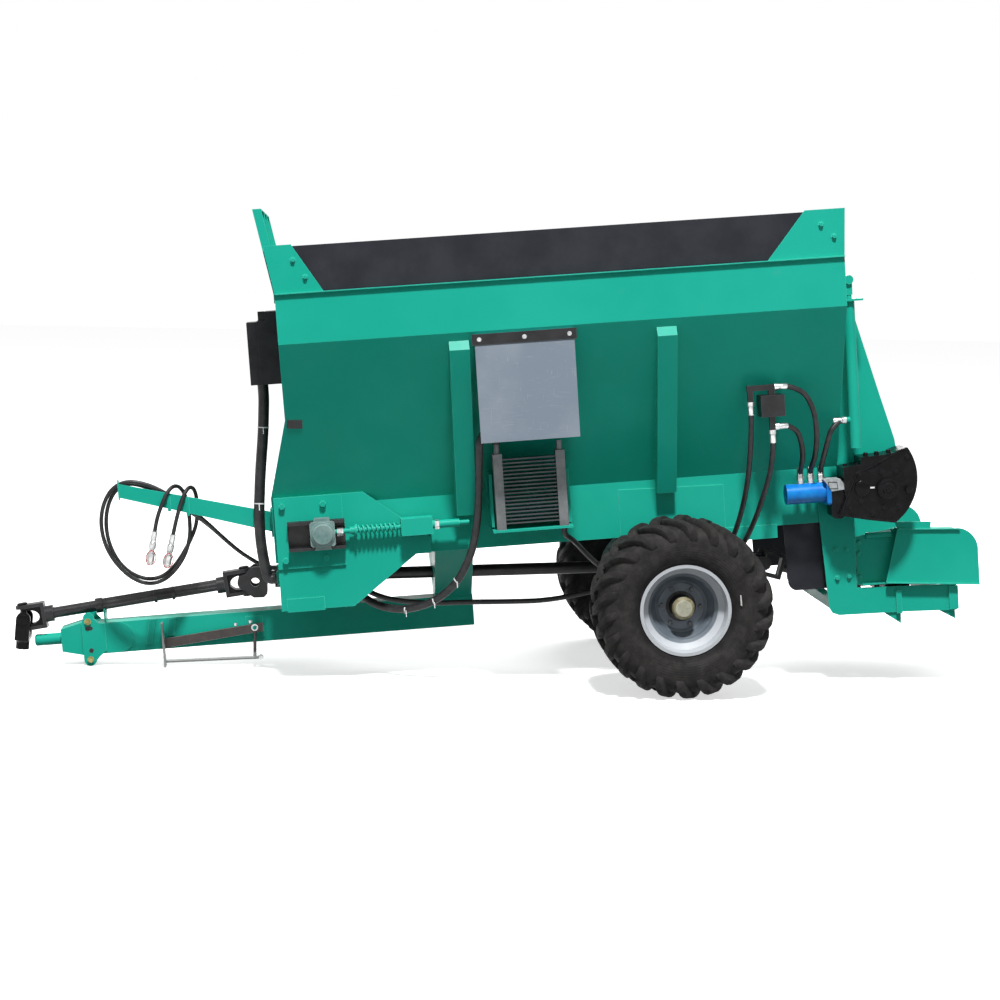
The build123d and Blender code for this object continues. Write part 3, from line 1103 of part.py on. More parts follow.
with BuildPart() as side_guards:
    # inner plate that stands on the deck
    with BuildSketch(side_plane(INNER_Y)):
        Polygon((-947, DECK_Z), (-947, 233), (-1136, 260), (-1150, 262), (-1438, 242), (-1438, DECK_Z),
                align=None)
    extrude(amount=5)
    # outer plate with its rounded rear corner
    with BuildSketch(side_plane(GUARD_Y)):
        with BuildLine():
            Polyline((-1554, 121), (-1555, -42), (-1079, 1), (-1150, 267), (-1464, 245))
            ThreePointArc((-1464, 245), (-1532, 201), (-1554, 121))
        make_face()
    extrude(amount=5)
    # lips along its top and bottom edges
    for lip in (((-1150, 262), (-1464, 240), (-1464, 245), (-1150, 267)),
                ((-1079, -4), (-1555, -47), (-1555, -42), (-1079, 1))):
        with BuildSketch(side_plane(GUARD_Y + 14)):
            Polygon(*lip, align=None)
        extrude(amount=16)
    with BuildSketch(side_plane(GUARD_Y)):
        Polygon((-1150, 262), (-1438, 242), (-1438, 247), (-1150, 267), align=None)
    extrude(amount=GUARD_Y - INNER_Y + 5)
    # raised plate over the lip's front half
    with BuildSketch(side_plane(GUARD_Y)):
        Polygon((-1135, 301), (-1150, 262), (-1315, 251), (-1321, 289), align=None)
    extrude(amount=5)
    # round stop and a ledge on the inner plate
    with BuildSketch(Plane.YZ.offset(-1125)):
        with Locations((INNER_Y + TUBE_END_R - 2, 236)):
            Circle(TUBE_END_R)
    extrude(amount=128)
    with BuildSketch(side_plane(INNER_Y + 40)):
        Polygon((-966, -10), (-1078, -10), (-1078, -4), (-966, -4), align=None)
    extrude(amount=40)
    mirror(about=Plane.XZ)

BOX_TOP, BOX_DEEP, DRIVE_BOX = DECK_Z - DECK_THICK, 90, 130
SPINDLE_SHAFT_R = 20

with BuildPart() as spinner_drive:
    with BuildSketch(Plane.XY.offset(BOX_TOP)):
        with Locations((DISC_X, -DISC_Y), (DISC_X, 0), (DISC_X, DISC_Y)):
            RectangleRounded(DRIVE_BOX, DRIVE_BOX, 14)
    extrude(amount=-BOX_DEEP)
    with BuildSketch(side_plane(DISC_Y)):
        with Locations((DISC_X, BOX_TOP - BOX_DEEP / 2)):
            Circle(30)
    extrude(amount=2 * DISC_Y)
    with BuildSketch(Plane.YZ.offset(-1140)):
        with Locations((0, BOX_TOP - BOX_DEEP / 2)):
            Circle(34)
    extrude(amount=60)
    for side in (-1, 1):
        with BuildSketch(Plane.XY.offset(BOX_TOP - 60)):
            with Locations((DISC_X, side * DISC_Y)):
                Circle(SPINDLE_SHAFT_R + RUN_GAP)
        extrude(amount=60, mode=Mode.SUBTRACT)

VANE_INNER_R, VANE_THICK = 62, 6

with BuildPart() as spinner_left:
    with BuildSketch(Plane.XY.offset(DISC_Z)):
        with Locations((DISC_X, DISC_Y)):
            Circle(DISC_R)
    extrude(amount=6)
    with BuildSketch(Plane.XY.offset(DISC_Z + 6)):
        with Locations((DISC_X, DISC_Y)):
            Circle(48)
    extrude(amount=34)
    with BuildSketch(Plane.XY.offset(BOX_TOP - 56)):
        with Locations((DISC_X, DISC_Y)):
            Circle(SPINDLE_SHAFT_R)
    extrude(amount=DISC_Z - BOX_TOP + 56)
    with BuildSketch(Plane.XY.offset(DISC_Z + 6)):
        with Locations((DISC_X, DISC_Y)):
            with PolarLocations((VANE_INNER_R + DISC_R) / 2 - 4, VANES):
                Rectangle(DISC_R - VANE_INNER_R, VANE_THICK)
    extrude(amount=VANE_TALL)

with BuildPart() as spinner_right:
    mirror(spinner_left.part, about=Plane.XZ)

with BuildPart() as spread_flaps:
    with BuildSketch(side_plane(470)):
        with BuildLine():
            Polyline((-635, -20), (-860, -20), (-860, SKIRT_Z), (-590, SKIRT_Z), (-601, 29))
            ThreePointArc((-601, 29), (-613, -5), (-635, -20))
        make_face()
    extrude(amount=8)
    mirror(about=Plane.XZ)

# ======================== parking stand ========================
STAND_TIP_X = 2556

with BuildPart() as parking_stand:
    with BuildSketch(side_plane(STAND_Y + 12)):
        Polygon((2052, -28), (2052, -72), (STAND_TIP_X, -121), (STAND_TIP_X, -72), align=None)
        with Locations(STAND_PIVOT):
            Circle(STAND_PIN_R + RUN_GAP, mode=Mode.SUBTRACT)
    extrude(amount=12)
    # foot plate, upright while the stand is folded
    with BuildSketch(side_plane(STAND_Y + 46)):
        Polygon((STAND_TIP_X, 12), (STAND_TIP_X + 10, 12), (STAND_TIP_X + 10, -212), (STAND_TIP_X, -212),
                align=None)
    extrude(amount=56)
    # brace rods from the foot plate back to the leg
    for start, end in (
        ((2554, -188), (2072, -205)), ((2095, -68), (2106, -212)),
    ):
        with BuildSketch(Plane(origin=(start[0], STAND_Y + 16, start[1]),
                               z_dir=(end[0] - start[0], 0, end[1] - start[1]))):
            Circle(8)
        extrude(amount=hypot(end[0] - start[0], end[1] - start[1]))

# ======================== free hoses for the towing tractor ========================
TRACTOR_HOSE_D = 20
HOSE_END_A, HOSE_END_B = (2539, 378, 509), (2450, 378, 487)
TRACTOR_HOSE_A = (
    (GLAND_X, 230, 262), (2005, 230, 262), (2062, 238, 304), (2124, 250, 352), (2180, 264, 408),
    (2230, 280, 464), (2278, 298, 520), (2330, 318, 574), (2388, 330, 626), (2452, 332, 676),
    (2522, 333, 724), (2600, 334, 756), (2672, 334, 764), (2736, 335, 734), (2780, 335, 668),
    (2802, 333, 590), (2802, 330, 505), (2780, 325, 420), (2738, 319, 345), (2678, 312, 278),
    (2600, 305, 238), (2518, 298, 250), (2448, 291, 308), (2396, 285, 386), (2372, 281, 470),
    (2369, 280, 545), (2372, 281, 615), (2382, 290, 678), (2404, 312, 718), (2432, 342, 726),
    (2460, 368, 702), (2486, 377, 655), (2510, 378, 605), (2528, 378, 555), HOSE_END_A,
)
TRACTOR_HOSE_B = (
    (GLAND_X, 196, 262), (2005, 196, 262), (2062, 205, 300), (2124, 218, 347), (2180, 234, 402),
    (2230, 252, 458), (2280, 272, 512), (2332, 294, 562), (2390, 308, 608), (2454, 309, 654),
    (2520, 309, 700), (2592, 309, 738), (2660, 310, 752), (2716, 311, 728), (2756, 311, 670),
    (2778, 309, 596), (2782, 306, 514), (2768, 302, 435), (2734, 297, 358), (2680, 291, 298),
    (2604, 284, 260), (2528, 277, 266), (2466, 270, 312), (2418, 264, 372), (2374, 258, 440),
    (2340, 256, 510), (2328, 255, 584), (2326, 265, 652), (2334, 295, 700), (2352, 338, 716),
    (2376, 368, 692), (2400, 377, 640), (2420, 378, 585), (2437, 378, 532), HOSE_END_B,
)
# distance along the coupler and its radius there
COUPLER = ((0, 0), (0, 14), (52, 14), (56, 17), (84, 17), (88, 13), (104, 13), (110, 19), (150, 19), (170, 12),
           (170, 0))


def print_bends(name, points):
    """Print the tightest bend and the length of a hose's straight-run route."""
    runs = [(Vector(*b) - Vector(*a)).length for a, b in zip(points, points[1:])]
    print(name, "tightest radius", round(min(bend_radii(points))), "length", round(sum(runs)))


with BuildPart() as tractor_hose_a:
    lay_hose(TRACTOR_HOSE_A, TRACTOR_HOSE_D)

with BuildPart() as tractor_hose_b:
    lay_hose(TRACTOR_HOSE_B, TRACTOR_HOSE_D)

print_bends("tractor hose a", TRACTOR_HOSE_A)
print_bends("tractor hose b", TRACTOR_HOSE_B)


def turn_coupler(points):
    """A quick coupler in line with the end of a hose, into the part in hand."""
    end = Vector(*points[-1])
    heading = (end - Vector(*points[-2])).normalized()
    plane = Plane(origin=end, x_dir=heading, z_dir=heading.cross(Vector(0, 1, 0)))
    with BuildSketch(plane) as section:
        Polygon(*COUPLER, align=None)
    revolve(section.sketch, axis=Axis(end, heading))


with BuildPart() as coupler_a:
    turn_coupler(TRACTOR_HOSE_A)

with BuildPart() as coupler_b:
    turn_coupler(TRACTOR_HOSE_B)

# ======================== hand over ========================
PIECES = {
    "drawbar": drawbar, "gusset_plates": gusset_plates, "hitch_head": hitch_head,
    "hopper_side_left": hopper_side_left,
    "hopper_side_right": hopper_side_right, "hopper_front": hopper_front,
    "hopper_rear": hopper_rear, "hopper_floor": hopper_floor, "top_strips": top_strips,
    "corner_plates": corner_plates, "front_board": front_board, "axle": axle,
    "tyre_left": tyre_left, "tyre_right": tyre_right, "rim_left": rim_left,
    "rim_right": rim_right, "hub_left": hub_left, "hub_right": hub_right,
    "conveyor": conveyor, "conveyor_shafts": conveyor_shafts,
    "tensioner_guides": tensioner_guides, "tensioner_bearings": tensioner_bearings,
    "tensioner_rods": tensioner_rods,
    "tensioner_springs": tensioner_springs, "oil_cooler": oil_cooler,
    "cooler_bracket": cooler_bracket, "cooler_visor": cooler_visor, "control_box": control_box,
    "front_sleeve": front_sleeve, "cooler_hoses": cooler_hoses, "hose_arm": hose_arm,
    "driveline": driveline, "pto_shaft": pto_shaft, "pto_yoke": pto_yoke,
    "conveyor_gearbox": conveyor_gearbox, "hydraulic_motor": hydraulic_motor,
    "valve_block": valve_block, "rear_hoses": rear_hoses, "gate_cylinders": gate_cylinders,
    "gate": gate, "rear_cheeks": rear_cheeks, "deck_frame": deck_frame,
    "side_guards": side_guards, "spinner_drive": spinner_drive, "spinner_left": spinner_left,
    "spinner_right": spinner_right, "spread_flaps": spread_flaps,
    "parking_stand": parking_stand,
    "tractor_hose_a": tractor_hose_a, "tractor_hose_b": tractor_hose_b,
    "coupler_a": coupler_a, "coupler_b": coupler_b,
}

os.makedirs("parts", exist_ok=True)
for name, piece in PIECES.items():
    parked = piece.part.moved(PARKED)
    parked.label = name
    export_step(parked, f"parts/{name}.step")
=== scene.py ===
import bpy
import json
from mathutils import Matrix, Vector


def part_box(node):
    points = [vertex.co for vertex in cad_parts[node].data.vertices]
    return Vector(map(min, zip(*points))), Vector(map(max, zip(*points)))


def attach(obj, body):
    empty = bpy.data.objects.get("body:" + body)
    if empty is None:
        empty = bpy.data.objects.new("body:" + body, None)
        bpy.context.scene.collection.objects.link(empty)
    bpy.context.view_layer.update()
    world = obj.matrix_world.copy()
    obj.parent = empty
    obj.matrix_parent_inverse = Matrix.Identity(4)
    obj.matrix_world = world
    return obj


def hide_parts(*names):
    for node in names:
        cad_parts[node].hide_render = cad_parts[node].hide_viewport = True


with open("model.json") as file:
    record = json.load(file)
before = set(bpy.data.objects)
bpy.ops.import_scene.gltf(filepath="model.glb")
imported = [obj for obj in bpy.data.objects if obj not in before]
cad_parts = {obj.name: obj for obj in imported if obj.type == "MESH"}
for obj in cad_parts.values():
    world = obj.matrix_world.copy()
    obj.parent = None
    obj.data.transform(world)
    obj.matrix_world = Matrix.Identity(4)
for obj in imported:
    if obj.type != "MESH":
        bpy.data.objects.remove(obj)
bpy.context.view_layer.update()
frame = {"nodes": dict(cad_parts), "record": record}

import json
from math import cos, pi, radians, sin

import bmesh
import bpy
from mathutils import Matrix, Vector

# A parked manure spreader. Lengths are metres. The machine's own frame is level, with X forward
# of the axle, Y to its left and Z above the axle; PARKED takes it to the row frame.
PITCH = radians(4.9)
AXLE_X, WHEEL_RADIUS, TRACK_HALF = -0.8751, 0.437, 0.800
PARKED = Matrix.Translation((AXLE_X, 0, WHEEL_RADIUS)) @ Matrix.Rotation(PITCH, 4, "Y")
NODES = frame["nodes"]


# ---------------------------------------------------------------- shader building
class Shader:
    """A Principled material being built, with its noise read in object coordinates."""

    def __init__(self, name, metallic=0.0, specular=0.5):
        self.material = bpy.data.materials.new(name)
        self.material.use_nodes = True
        self.tree = self.material.node_tree
        self.principled = self.tree.nodes["Principled BSDF"]
        self.principled.inputs["Metallic"].default_value = metallic
        self.principled.inputs["Specular IOR Level"].default_value = specular
        coordinates = self.tree.nodes.new("ShaderNodeTexCoord")
        self.position = coordinates.outputs["Object"]

    def link(self, output, socket):
        self.tree.links.new(output, socket)

    def level(self):
        """The position in the machine's own level frame."""
        turn = self.tree.nodes.new("ShaderNodeMapping")
        turn.vector_type = "TEXTURE"
        turn.inputs["Location"].default_value = (AXLE_X, 0, WHEEL_RADIUS)
        turn.inputs["Rotation"].default_value = (0, PITCH, 0)
        self.link(self.position, turn.inputs["Vector"])
        return turn.outputs["Vector"]

    def axis(self, vector, name):
        split = self.tree.nodes.new("ShaderNodeSeparateXYZ")
        self.link(vector, split.inputs["Vector"])
        return split.outputs[name]

    def noise(self, scale, detail=4.0, roughness=0.55, stretch=None):
        node = self.tree.nodes.new("ShaderNodeTexNoise")
        node.inputs["Scale"].default_value = scale
        node.inputs["Detail"].default_value = detail
        node.inputs["Roughness"].default_value = roughness
        source = self.position
        if stretch:
            mapping = self.tree.nodes.new("ShaderNodeMapping")
            mapping.inputs["Scale"].default_value = stretch
            self.link(self.position, mapping.inputs["Vector"])
            source = mapping.outputs["Vector"]
        self.link(source, node.inputs["Vector"])
        return node.outputs["Fac"]

    def math(self, operation, first, second=0.0):
        node = self.tree.nodes.new("ShaderNodeMath")
        node.operation = operation
        for socket, value in zip(node.inputs, (first, second)):
            if isinstance(value, (int, float)):
                socket.default_value = value
            else:
                self.link(value, socket)
        return node.outputs["Value"]

    def spread(self, value, low, high, to_low=0.0, to_high=1.0):
        """Map a range of a value onto another, clamped and eased."""
        node = self.tree.nodes.new("ShaderNodeMapRange")
        node.interpolation_type = "SMOOTHSTEP"
        node.inputs["From Min"].default_value = low
        node.inputs["From Max"].default_value = high
        node.inputs["To Min"].default_value = to_low
        node.inputs["To Max"].default_value = to_high
        self.link(value, node.inputs["Value"])
        return node.outputs["Result"]

    def mix(self, factor, first, second):
        """Blend two colours, each a socket or an RGB triple."""
        node = self.tree.nodes.new("ShaderNodeMix")
        node.data_type = "RGBA"
        self.link(factor, node.inputs[0])
        for socket, value in zip((node.inputs[6], node.inputs[7]), (first, second)):
            if isinstance(value, tuple):
                socket.default_value = (*value, 1.0)
            else:
                self.link(value, socket)
        return node.outputs[2]

    def edges(self, radius):
        """1 on the object's sharp edges, 0 on its flats."""
        bevel = self.tree.nodes.new("ShaderNodeBevel")
        bevel.samples = 4
        bevel.inputs["Radius"].default_value = radius
        normal = self.tree.nodes.new("ShaderNodeNewGeometry").outputs["Normal"]
        dot = self.tree.nodes.new("ShaderNodeVectorMath")
        dot.operation = "DOT_PRODUCT"
        self.link(bevel.outputs["Normal"], dot.inputs[0])
        self.link(normal, dot.inputs[1])
        return self.spread(dot.outputs["Value"], 0.995, 0.90)

    def bump(self, height, strength, distance=0.002):
        node = self.tree.nodes.new("ShaderNodeBump")
        node.inputs["Strength"].default_value = strength
        node.inputs["Distance"].default_value = distance
        self.link(height, node.inputs["Height"])
        self.link(node.outputs["Normal"], self.principled.inputs["Normal"])

    def mottle(self, scale, detail):
        """Soft blotches, from 0 to 1."""
        return self.spread(self.noise(scale, detail), 0.35, 0.7)

    def share(self, value, amount):
        return self.math("MULTIPLY", value, amount)

    def pale_edges(self, colour, radius, amount, pale_part):
        """Blend a colour towards a paler one along the sharp edges; on the teal paint this is a painted
        highlight.
        """
        return self.mix(self.share(self.edges(radius), amount), colour, pale_part)

    def finish(self, colour, scale, low, high, detail=4):
        """Close the material with its colour and a roughness that wanders between two values."""
        self.link(colour, self.principled.inputs["Base Color"])
        sheen = self.spread(self.noise(scale, detail), 0.3, 0.7, low, high)
        self.link(sheen, self.principled.inputs["Roughness"])
        return self.material


TEAL, TEAL_DARK = (0.016, 0.45, 0.335), (0.010, 0.41, 0.300)
# TEAL_HIGHLIGHT is a painted highlight for the sharp edges of the teal paint
TEAL_HIGHLIGHT, DUST = (0.10, 0.66, 0.52), (0.30, 0.29, 0.24)


def teal_paint():
    """Powder coat over welded sheet: faint mottling, a painted highlight along the edges, a little dust."""
    s = Shader("teal_paint", specular=0.11)
    tone = s.spread(s.noise(1.6, 3), 0.35, 0.65)
    colour = s.mix(tone, TEAL_DARK, TEAL)
    # painted highlight: the sharp edges are paled towards a light mint
    colour = s.pale_edges(colour, 0.004, 0.75, TEAL_HIGHLIGHT)
    dusty = s.share(s.spread(s.noise(9, 8, 0.7), 0.60, 0.85), 0.10)
    colour = s.mix(dusty, colour, DUST)
    s.bump(s.noise(260, 2), 0.12, 0.0006)
    return s.finish(colour, 4, 0.30, 0.46, detail=5)


def black_paint():
    """Satin black over steel sheet, rubbed grey on its edges."""
    s = Shader("black_paint", specular=0.3)
    colour = s.mix(s.mottle(14, 6), (0.010, 0.010, 0.011), (0.022, 0.022, 0.024))
    colour = s.pale_edges(colour, 0.003, 0.6, (0.12, 0.12, 0.13))
    s.bump(s.noise(180, 3), 0.15, 0.0008)
    return s.finish(colour, 20, 0.30, 0.5)


def cast_black():
    """Glossy black paint over castings."""
    s = Shader("cast_black", specular=0.10)
    colour = s.mix(s.spread(s.noise(30, 6), 0.4, 0.7), (0.003, 0.003, 0.0035), (0.008, 0.008, 0.009))
    colour = s.pale_edges(colour, 0.003, 0.35, (0.07, 0.07, 0.08))
    s.bump(s.noise(90, 5, 0.6), 0.3, 0.0012)
    return s.finish(colour, 12, 0.20, 0.38)


def cast_grey():
    """Grey-green paint over a rough casting."""
    s = Shader("cast_grey")
    colour = s.mix(s.mottle(22, 6), (0.10, 0.20, 0.19), (0.20, 0.30, 0.29))
    colour = s.pale_edges(colour, 0.004, 0.7, (0.42, 0.52, 0.50))
    s.bump(s.noise(140, 6, 0.7), 0.35, 0.0012)
    return s.finish(colour, 12, 0.35, 0.55)


def blue_paint():
    """A blue motor, with its bare mounting flange and port bosses."""
    s = Shader("blue_paint", specular=0.25)
    x = s.axis(s.level(), "X")
    z = s.axis(s.level(), "Z")
    pale_part = s.math("MAXIMUM", s.spread(x, -0.802, -0.804), s.spread(z, 0.536, 0.538))
    colour = s.mix(s.mottle(18, 5), (0.003, 0.17, 0.58), (0.006, 0.25, 0.72))
    colour = s.mix(pale_part, colour, (0.50, 0.51, 0.52))
    s.link(s.share(pale_part, 0.8), s.principled.inputs["Metallic"])
    s.bump(s.noise(160, 4), 0.15, 0.0008)
    return s.finish(colour, 12, 0.28, 0.42)


def zinc_steel():
    """Bright zinc on fasteners and hose ends."""
    s = Shader("zinc_steel", metallic=0.9)
    colour = s.mix(s.mottle(40, 5), (0.42, 0.43, 0.44), (0.68, 0.68, 0.67))
    s.bump(s.noise(300, 3), 0.1, 0.0004)
    return s.finish(colour, 25, 0.26, 0.44)


def floor_steel():
    """Worn mill plate, with long rub marks along the conveyor."""
    s = Shader("floor_steel", metallic=0.7)
    rubbed = s.spread(s.noise(8, 6, 0.6, stretch=(0.6, 9, 9)), 0.4, 0.65)
    colour = s.mix(rubbed, (0.10, 0.095, 0.09), (0.30, 0.30, 0.29))
    s.bump(s.noise(60, 5), 0.2, 0.001)
    s.link(colour, s.principled.inputs["Base Color"])
    s.link(s.spread(rubbed, 0, 1, 0.55, 0.35), s.principled.inputs["Roughness"])
    return s.material


def chain_steel():
    """Oily chain and slats."""
    s = Shader("chain_steel", metallic=0.7)
    colour = s.mix(s.spread(s.noise(26, 6), 0.38, 0.68), (0.05, 0.045, 0.04), (0.17, 0.16, 0.15))
    s.bump(s.noise(110, 5), 0.3, 0.001)
    return s.finish(colour, 30, 0.35, 0.6)


def strip_rubber():
    """Black rubber sheet with a faint blue cast."""
    s = Shader("strip_rubber", specular=0.2)
    colour = s.mix(s.mottle(5, 6), (0.014, 0.015, 0.020), (0.024, 0.026, 0.033))
    s.bump(s.noise(240, 4), 0.25, 0.0008)
    return s.finish(colour, 9, 0.5, 0.7, detail=5)


def hose_rubber():
    """Braid-grained hose cover."""
    s = Shader("hose_rubber", specular=0.3)
    colour = s.mix(s.mottle(30, 5), (0.012, 0.012, 0.013), (0.030, 0.030, 0.032))
    s.bump(s.noise(420, 3), 0.2, 0.0006)
    return s.finish(colour, 14, 0.34, 0.52)


def box_plastic():
    """Moulded black plastic with a fine grain."""
    s = Shader("box_plastic", specular=0.2)
    colour = s.mix(s.mottle(12, 5), (0.008, 0.008, 0.010), (0.018, 0.018, 0.021))
    colour = s.pale_edges(colour, 0.003, 0.6, (0.10, 0.10, 0.11))
    s.bump(s.noise(500, 2), 0.2, 0.0005)
    return s.finish(colour, 16, 0.38, 0.55)


def visor_plastic():
    """Grey sheet with scratches that run every way."""
    s = Shader("visor_plastic", specular=0.2)
    colour = s.mix(s.mottle(3, 5), (0.235, 0.285, 0.345), (0.30, 0.35, 0.41))
    scratch = s.math("MAXIMUM",
                     s.spread(s.noise(60, 2, 0.5, stretch=(0.25, 1, 5)), 0.66, 0.70),
                     s.spread(s.noise(50, 2, 0.5, stretch=(4, 1, 0.3)), 0.68, 0.72))
    colour = s.mix(s.share(scratch, 0.35), colour, (0.46, 0.49, 0.53))
    s.bump(s.noise(200, 4), 0.15, 0.0006)
    return s.finish(colour, 10, 0.42, 0.6)


def cooler_alloy():
    """Dull alloy tanks, with a dark core between them."""
    s = Shader("cooler_alloy", metallic=0.3)
    x = s.axis(s.level(), "X")
    core = s.math("MULTIPLY", s.spread(x, 0.559, 0.561), s.spread(x, 0.821, 0.819))
    colour = s.mix(s.mottle(22, 5), (0.115, 0.125, 0.130), (0.17, 0.18, 0.185))
    colour = s.mix(core, colour, (0.045, 0.052, 0.056))
    s.bump(s.noise(150, 5), 0.2, 0.0008)
    return s.finish(colour, 12, 0.4, 0.6)


def stand_steel():
    """Rusted brown leg with bare feet and foot bars."""
    s = Shader("stand_steel")
    x = s.axis(s.level(), "X")
    z = s.axis(s.level(), "Z")
    pale_part = s.math("MAXIMUM", s.spread(x, 2.554, 2.556), s.spread(z, -0.170, -0.180))
    colour = s.mix(s.mottle(20, 6), (0.018, 0.013, 0.012), (0.040, 0.030, 0.027))
    colour = s.pale_edges(colour, 0.004, 0.7, (0.40, 0.41, 0.38))
    colour = s.mix(pale_part, colour, (0.30, 0.31, 0.30))
    s.bump(s.noise(120, 5), 0.25, 0.001)
    return s.finish(colour, 12, 0.38, 0.55)


def wheel_radius_of(s):
    """Distance from the axle's line."""
    x = s.math("POWER", s.axis(s.level(), "X"), 2)
    z = s.math("POWER", s.axis(s.level(), "Z"), 2)
    return s.math("SQRT", s.math("ADD", x, z))


def tyre_rubber():
    """Dusty farm tyre: moulded rings on the wall, darker towards the bead."""
    s = Shader("tyre_rubber", specular=0.12)
    radius = wheel_radius_of(s)
    rings = s.math("SINE", s.math("MULTIPLY", radius, 520))
    wall = s.math("MULTIPLY", s.spread(radius, 0.225, 0.240), s.spread(radius, 0.340, 0.320))
    bead = s.spread(radius, 0.262, 0.236)
    colour = s.mix(s.spread(s.noise(16, 8, 0.65), 0.35, 0.7), (0.020, 0.019, 0.019), (0.040, 0.038, 0.037))
    dust = s.share(s.spread(s.noise(34, 8, 0.7), 0.50, 0.80), 0.25)
    colour = s.mix(dust, colour, (0.10, 0.097, 0.092))
    colour = s.mix(s.share(bead, 0.7), colour, (0.010, 0.009, 0.010))
    moulded = s.math("MULTIPLY", rings, s.share(wall, 0.35))
    s.bump(s.math("ADD", s.noise(120, 6, 0.6), moulded), 0.35, 0.003)
    return s.finish(colour, 20, 0.62, 0.85)


def rim_paint():
    """A grey disc in a silver rim, with dirt thrown on both."""
    s = Shader("rim_paint", specular=0.4)
    radius = wheel_radius_of(s)
    lip = s.spread(radius, 0.168, 0.174)
    colour = s.mix(s.mottle(12, 6), (0.10, 0.125, 0.15), (0.15, 0.175, 0.20))
    colour = s.mix(lip, colour, (0.50, 0.53, 0.56))
    holes = s.math("MULTIPLY", s.spread(radius, 0.080, 0.084), s.spread(radius, 0.112, 0.108))
    nut = s.math("MULTIPLY", holes, s.spread(s.axis(s.level(), "Y"), 0.8075, 0.8080))
    colour = s.mix(nut, colour, (0.045, 0.050, 0.055))
    dirt = s.share(s.spread(s.noise(40, 8, 0.75), 0.56, 0.78), 0.35)
    colour = s.mix(dirt, colour, (0.10, 0.095, 0.08))
    s.bump(s.noise(90, 6), 0.25, 0.001)
    return s.finish(colour, 12, 0.38, 0.6)


def hub_paint():
    """A near-black barrel, partly painted shade, with a gold ring at its end and a cream cap."""
    s = Shader("hub_paint", specular=0.3)
    radius = wheel_radius_of(s)
    reach = s.math("ABSOLUTE", s.axis(s.level(), "Y"))
    colour = s.mix(s.mottle(20, 6), (0.36, 0.36, 0.27), (0.50, 0.49, 0.40))
    ring = s.mix(s.spread(s.noise(30, 6), 0.4, 0.6), (0.16, 0.14, 0.075), (0.30, 0.27, 0.17))
    colour = s.mix(s.spread(radius, 0.040, 0.042), colour, ring)
    # black paint on the barrel, with painted shade over its side and in the gap inside the disc's bore
    barrel_and_gap_shade = s.math("MAXIMUM", s.spread(reach, 0.884, 0.882), s.spread(radius, 0.0555, 0.0565))
    colour = s.mix(barrel_and_gap_shade, colour, (0.010, 0.010, 0.011))
    dirt = s.share(s.spread(s.noise(60, 8, 0.75), 0.5, 0.72), 0.5)
    colour = s.mix(dirt, colour, (0.08, 0.075, 0.06))
    s.bump(s.noise(140, 6), 0.25, 0.001)
    return s.finish(colour, 20, 0.36, 0.55)


def plain_paint(name, low, high, metallic=0.0):
    """A mottled finish between two colours, for small fittings."""
    s = Shader(name, metallic=metallic, specular=0.3)
    s.bump(s.noise(260, 3), 0.12, 0.0005)
    return s.finish(s.mix(s.mottle(40, 5), low, high), 20, 0.3, 0.5)


FINISHES = {
    "teal_paint": teal_paint(), "black_paint": black_paint(), "cast_black": cast_black(),
    "cast_grey": cast_grey(), "blue_paint": blue_paint(), "zinc_steel": zinc_steel(),
    "floor_steel": floor_steel(), "chain_steel": chain_steel(), "strip_rubber": strip_rubber(),
    "hose_rubber": hose_rubber(), "box_plastic": box_plastic(), "visor_plastic": visor_plastic(),
    "cooler_alloy": cooler_alloy(), "stand_steel": stand_steel(), "tyre_rubber": tyre_rubber(),
    "rim_paint": rim_paint(), "hub_paint": hub_paint(),
    "gold_zinc": plain_paint("gold_zinc", (0.24, 0.21, 0.075), (0.44, 0.38, 0.16), 0.5),
    "pale_mark": plain_paint("pale_mark", (0.50, 0.50, 0.48), (0.62, 0.62, 0.60)),
    "pale_casting": plain_paint("pale_casting", (0.34, 0.37, 0.38), (0.48, 0.51, 0.52)),
    "white_tie": plain_paint("white_tie", (0.66, 0.67, 0.68), (0.80, 0.80, 0.80)),
    "red_cord": plain_paint("red_cord", (0.40, 0.03, 0.02), (0.58, 0.06, 0.04)),
}

# nodes that were sprayed with the hopper's colour once they were bolted on
PAINTED_OVER = {"tensioner_springs": "teal_paint", "tensioner_rods": "teal_paint"}

for part in frame["record"]["subparts"]:
    mesh = NODES[part["node"]].data
    mesh.materials.clear()
    mesh.materials.append(FINISHES[PAINTED_OVER.get(part["node"], part["material_slot"])])


# ---------------------------------------------------------------- free hoses
def route(points):
    """Hose route points in the machine's own frame, taken to the row frame."""
    return [PARKED @ Vector(point) for point in points]


def hose_curve(name, points, diameter):
    """A round hose along one smooth curve."""
    curve = bpy.data.curves.new(name, "CURVE")
    curve.dimensions = "3D"
    curve.bevel_depth = 1.0
    curve.bevel_resolution = 6
    curve.resolution_u = 8
    curve.use_fill_caps = True
    spline = curve.splines.new("NURBS")
    spline.points.add(len(points) - 1)
    for knot, point in zip(spline.points, points):
        knot.co = (*point, 1.0)
        knot.radius = diameter / 2
    spline.order_u = 3
    spline.use_endpoint_u = True
    hose = bpy.data.objects.new(name, curve)
    bpy.context.scene.collection.objects.link(hose)
    hose.data.materials.append(FINISHES["hose_rubber"])
    return hose


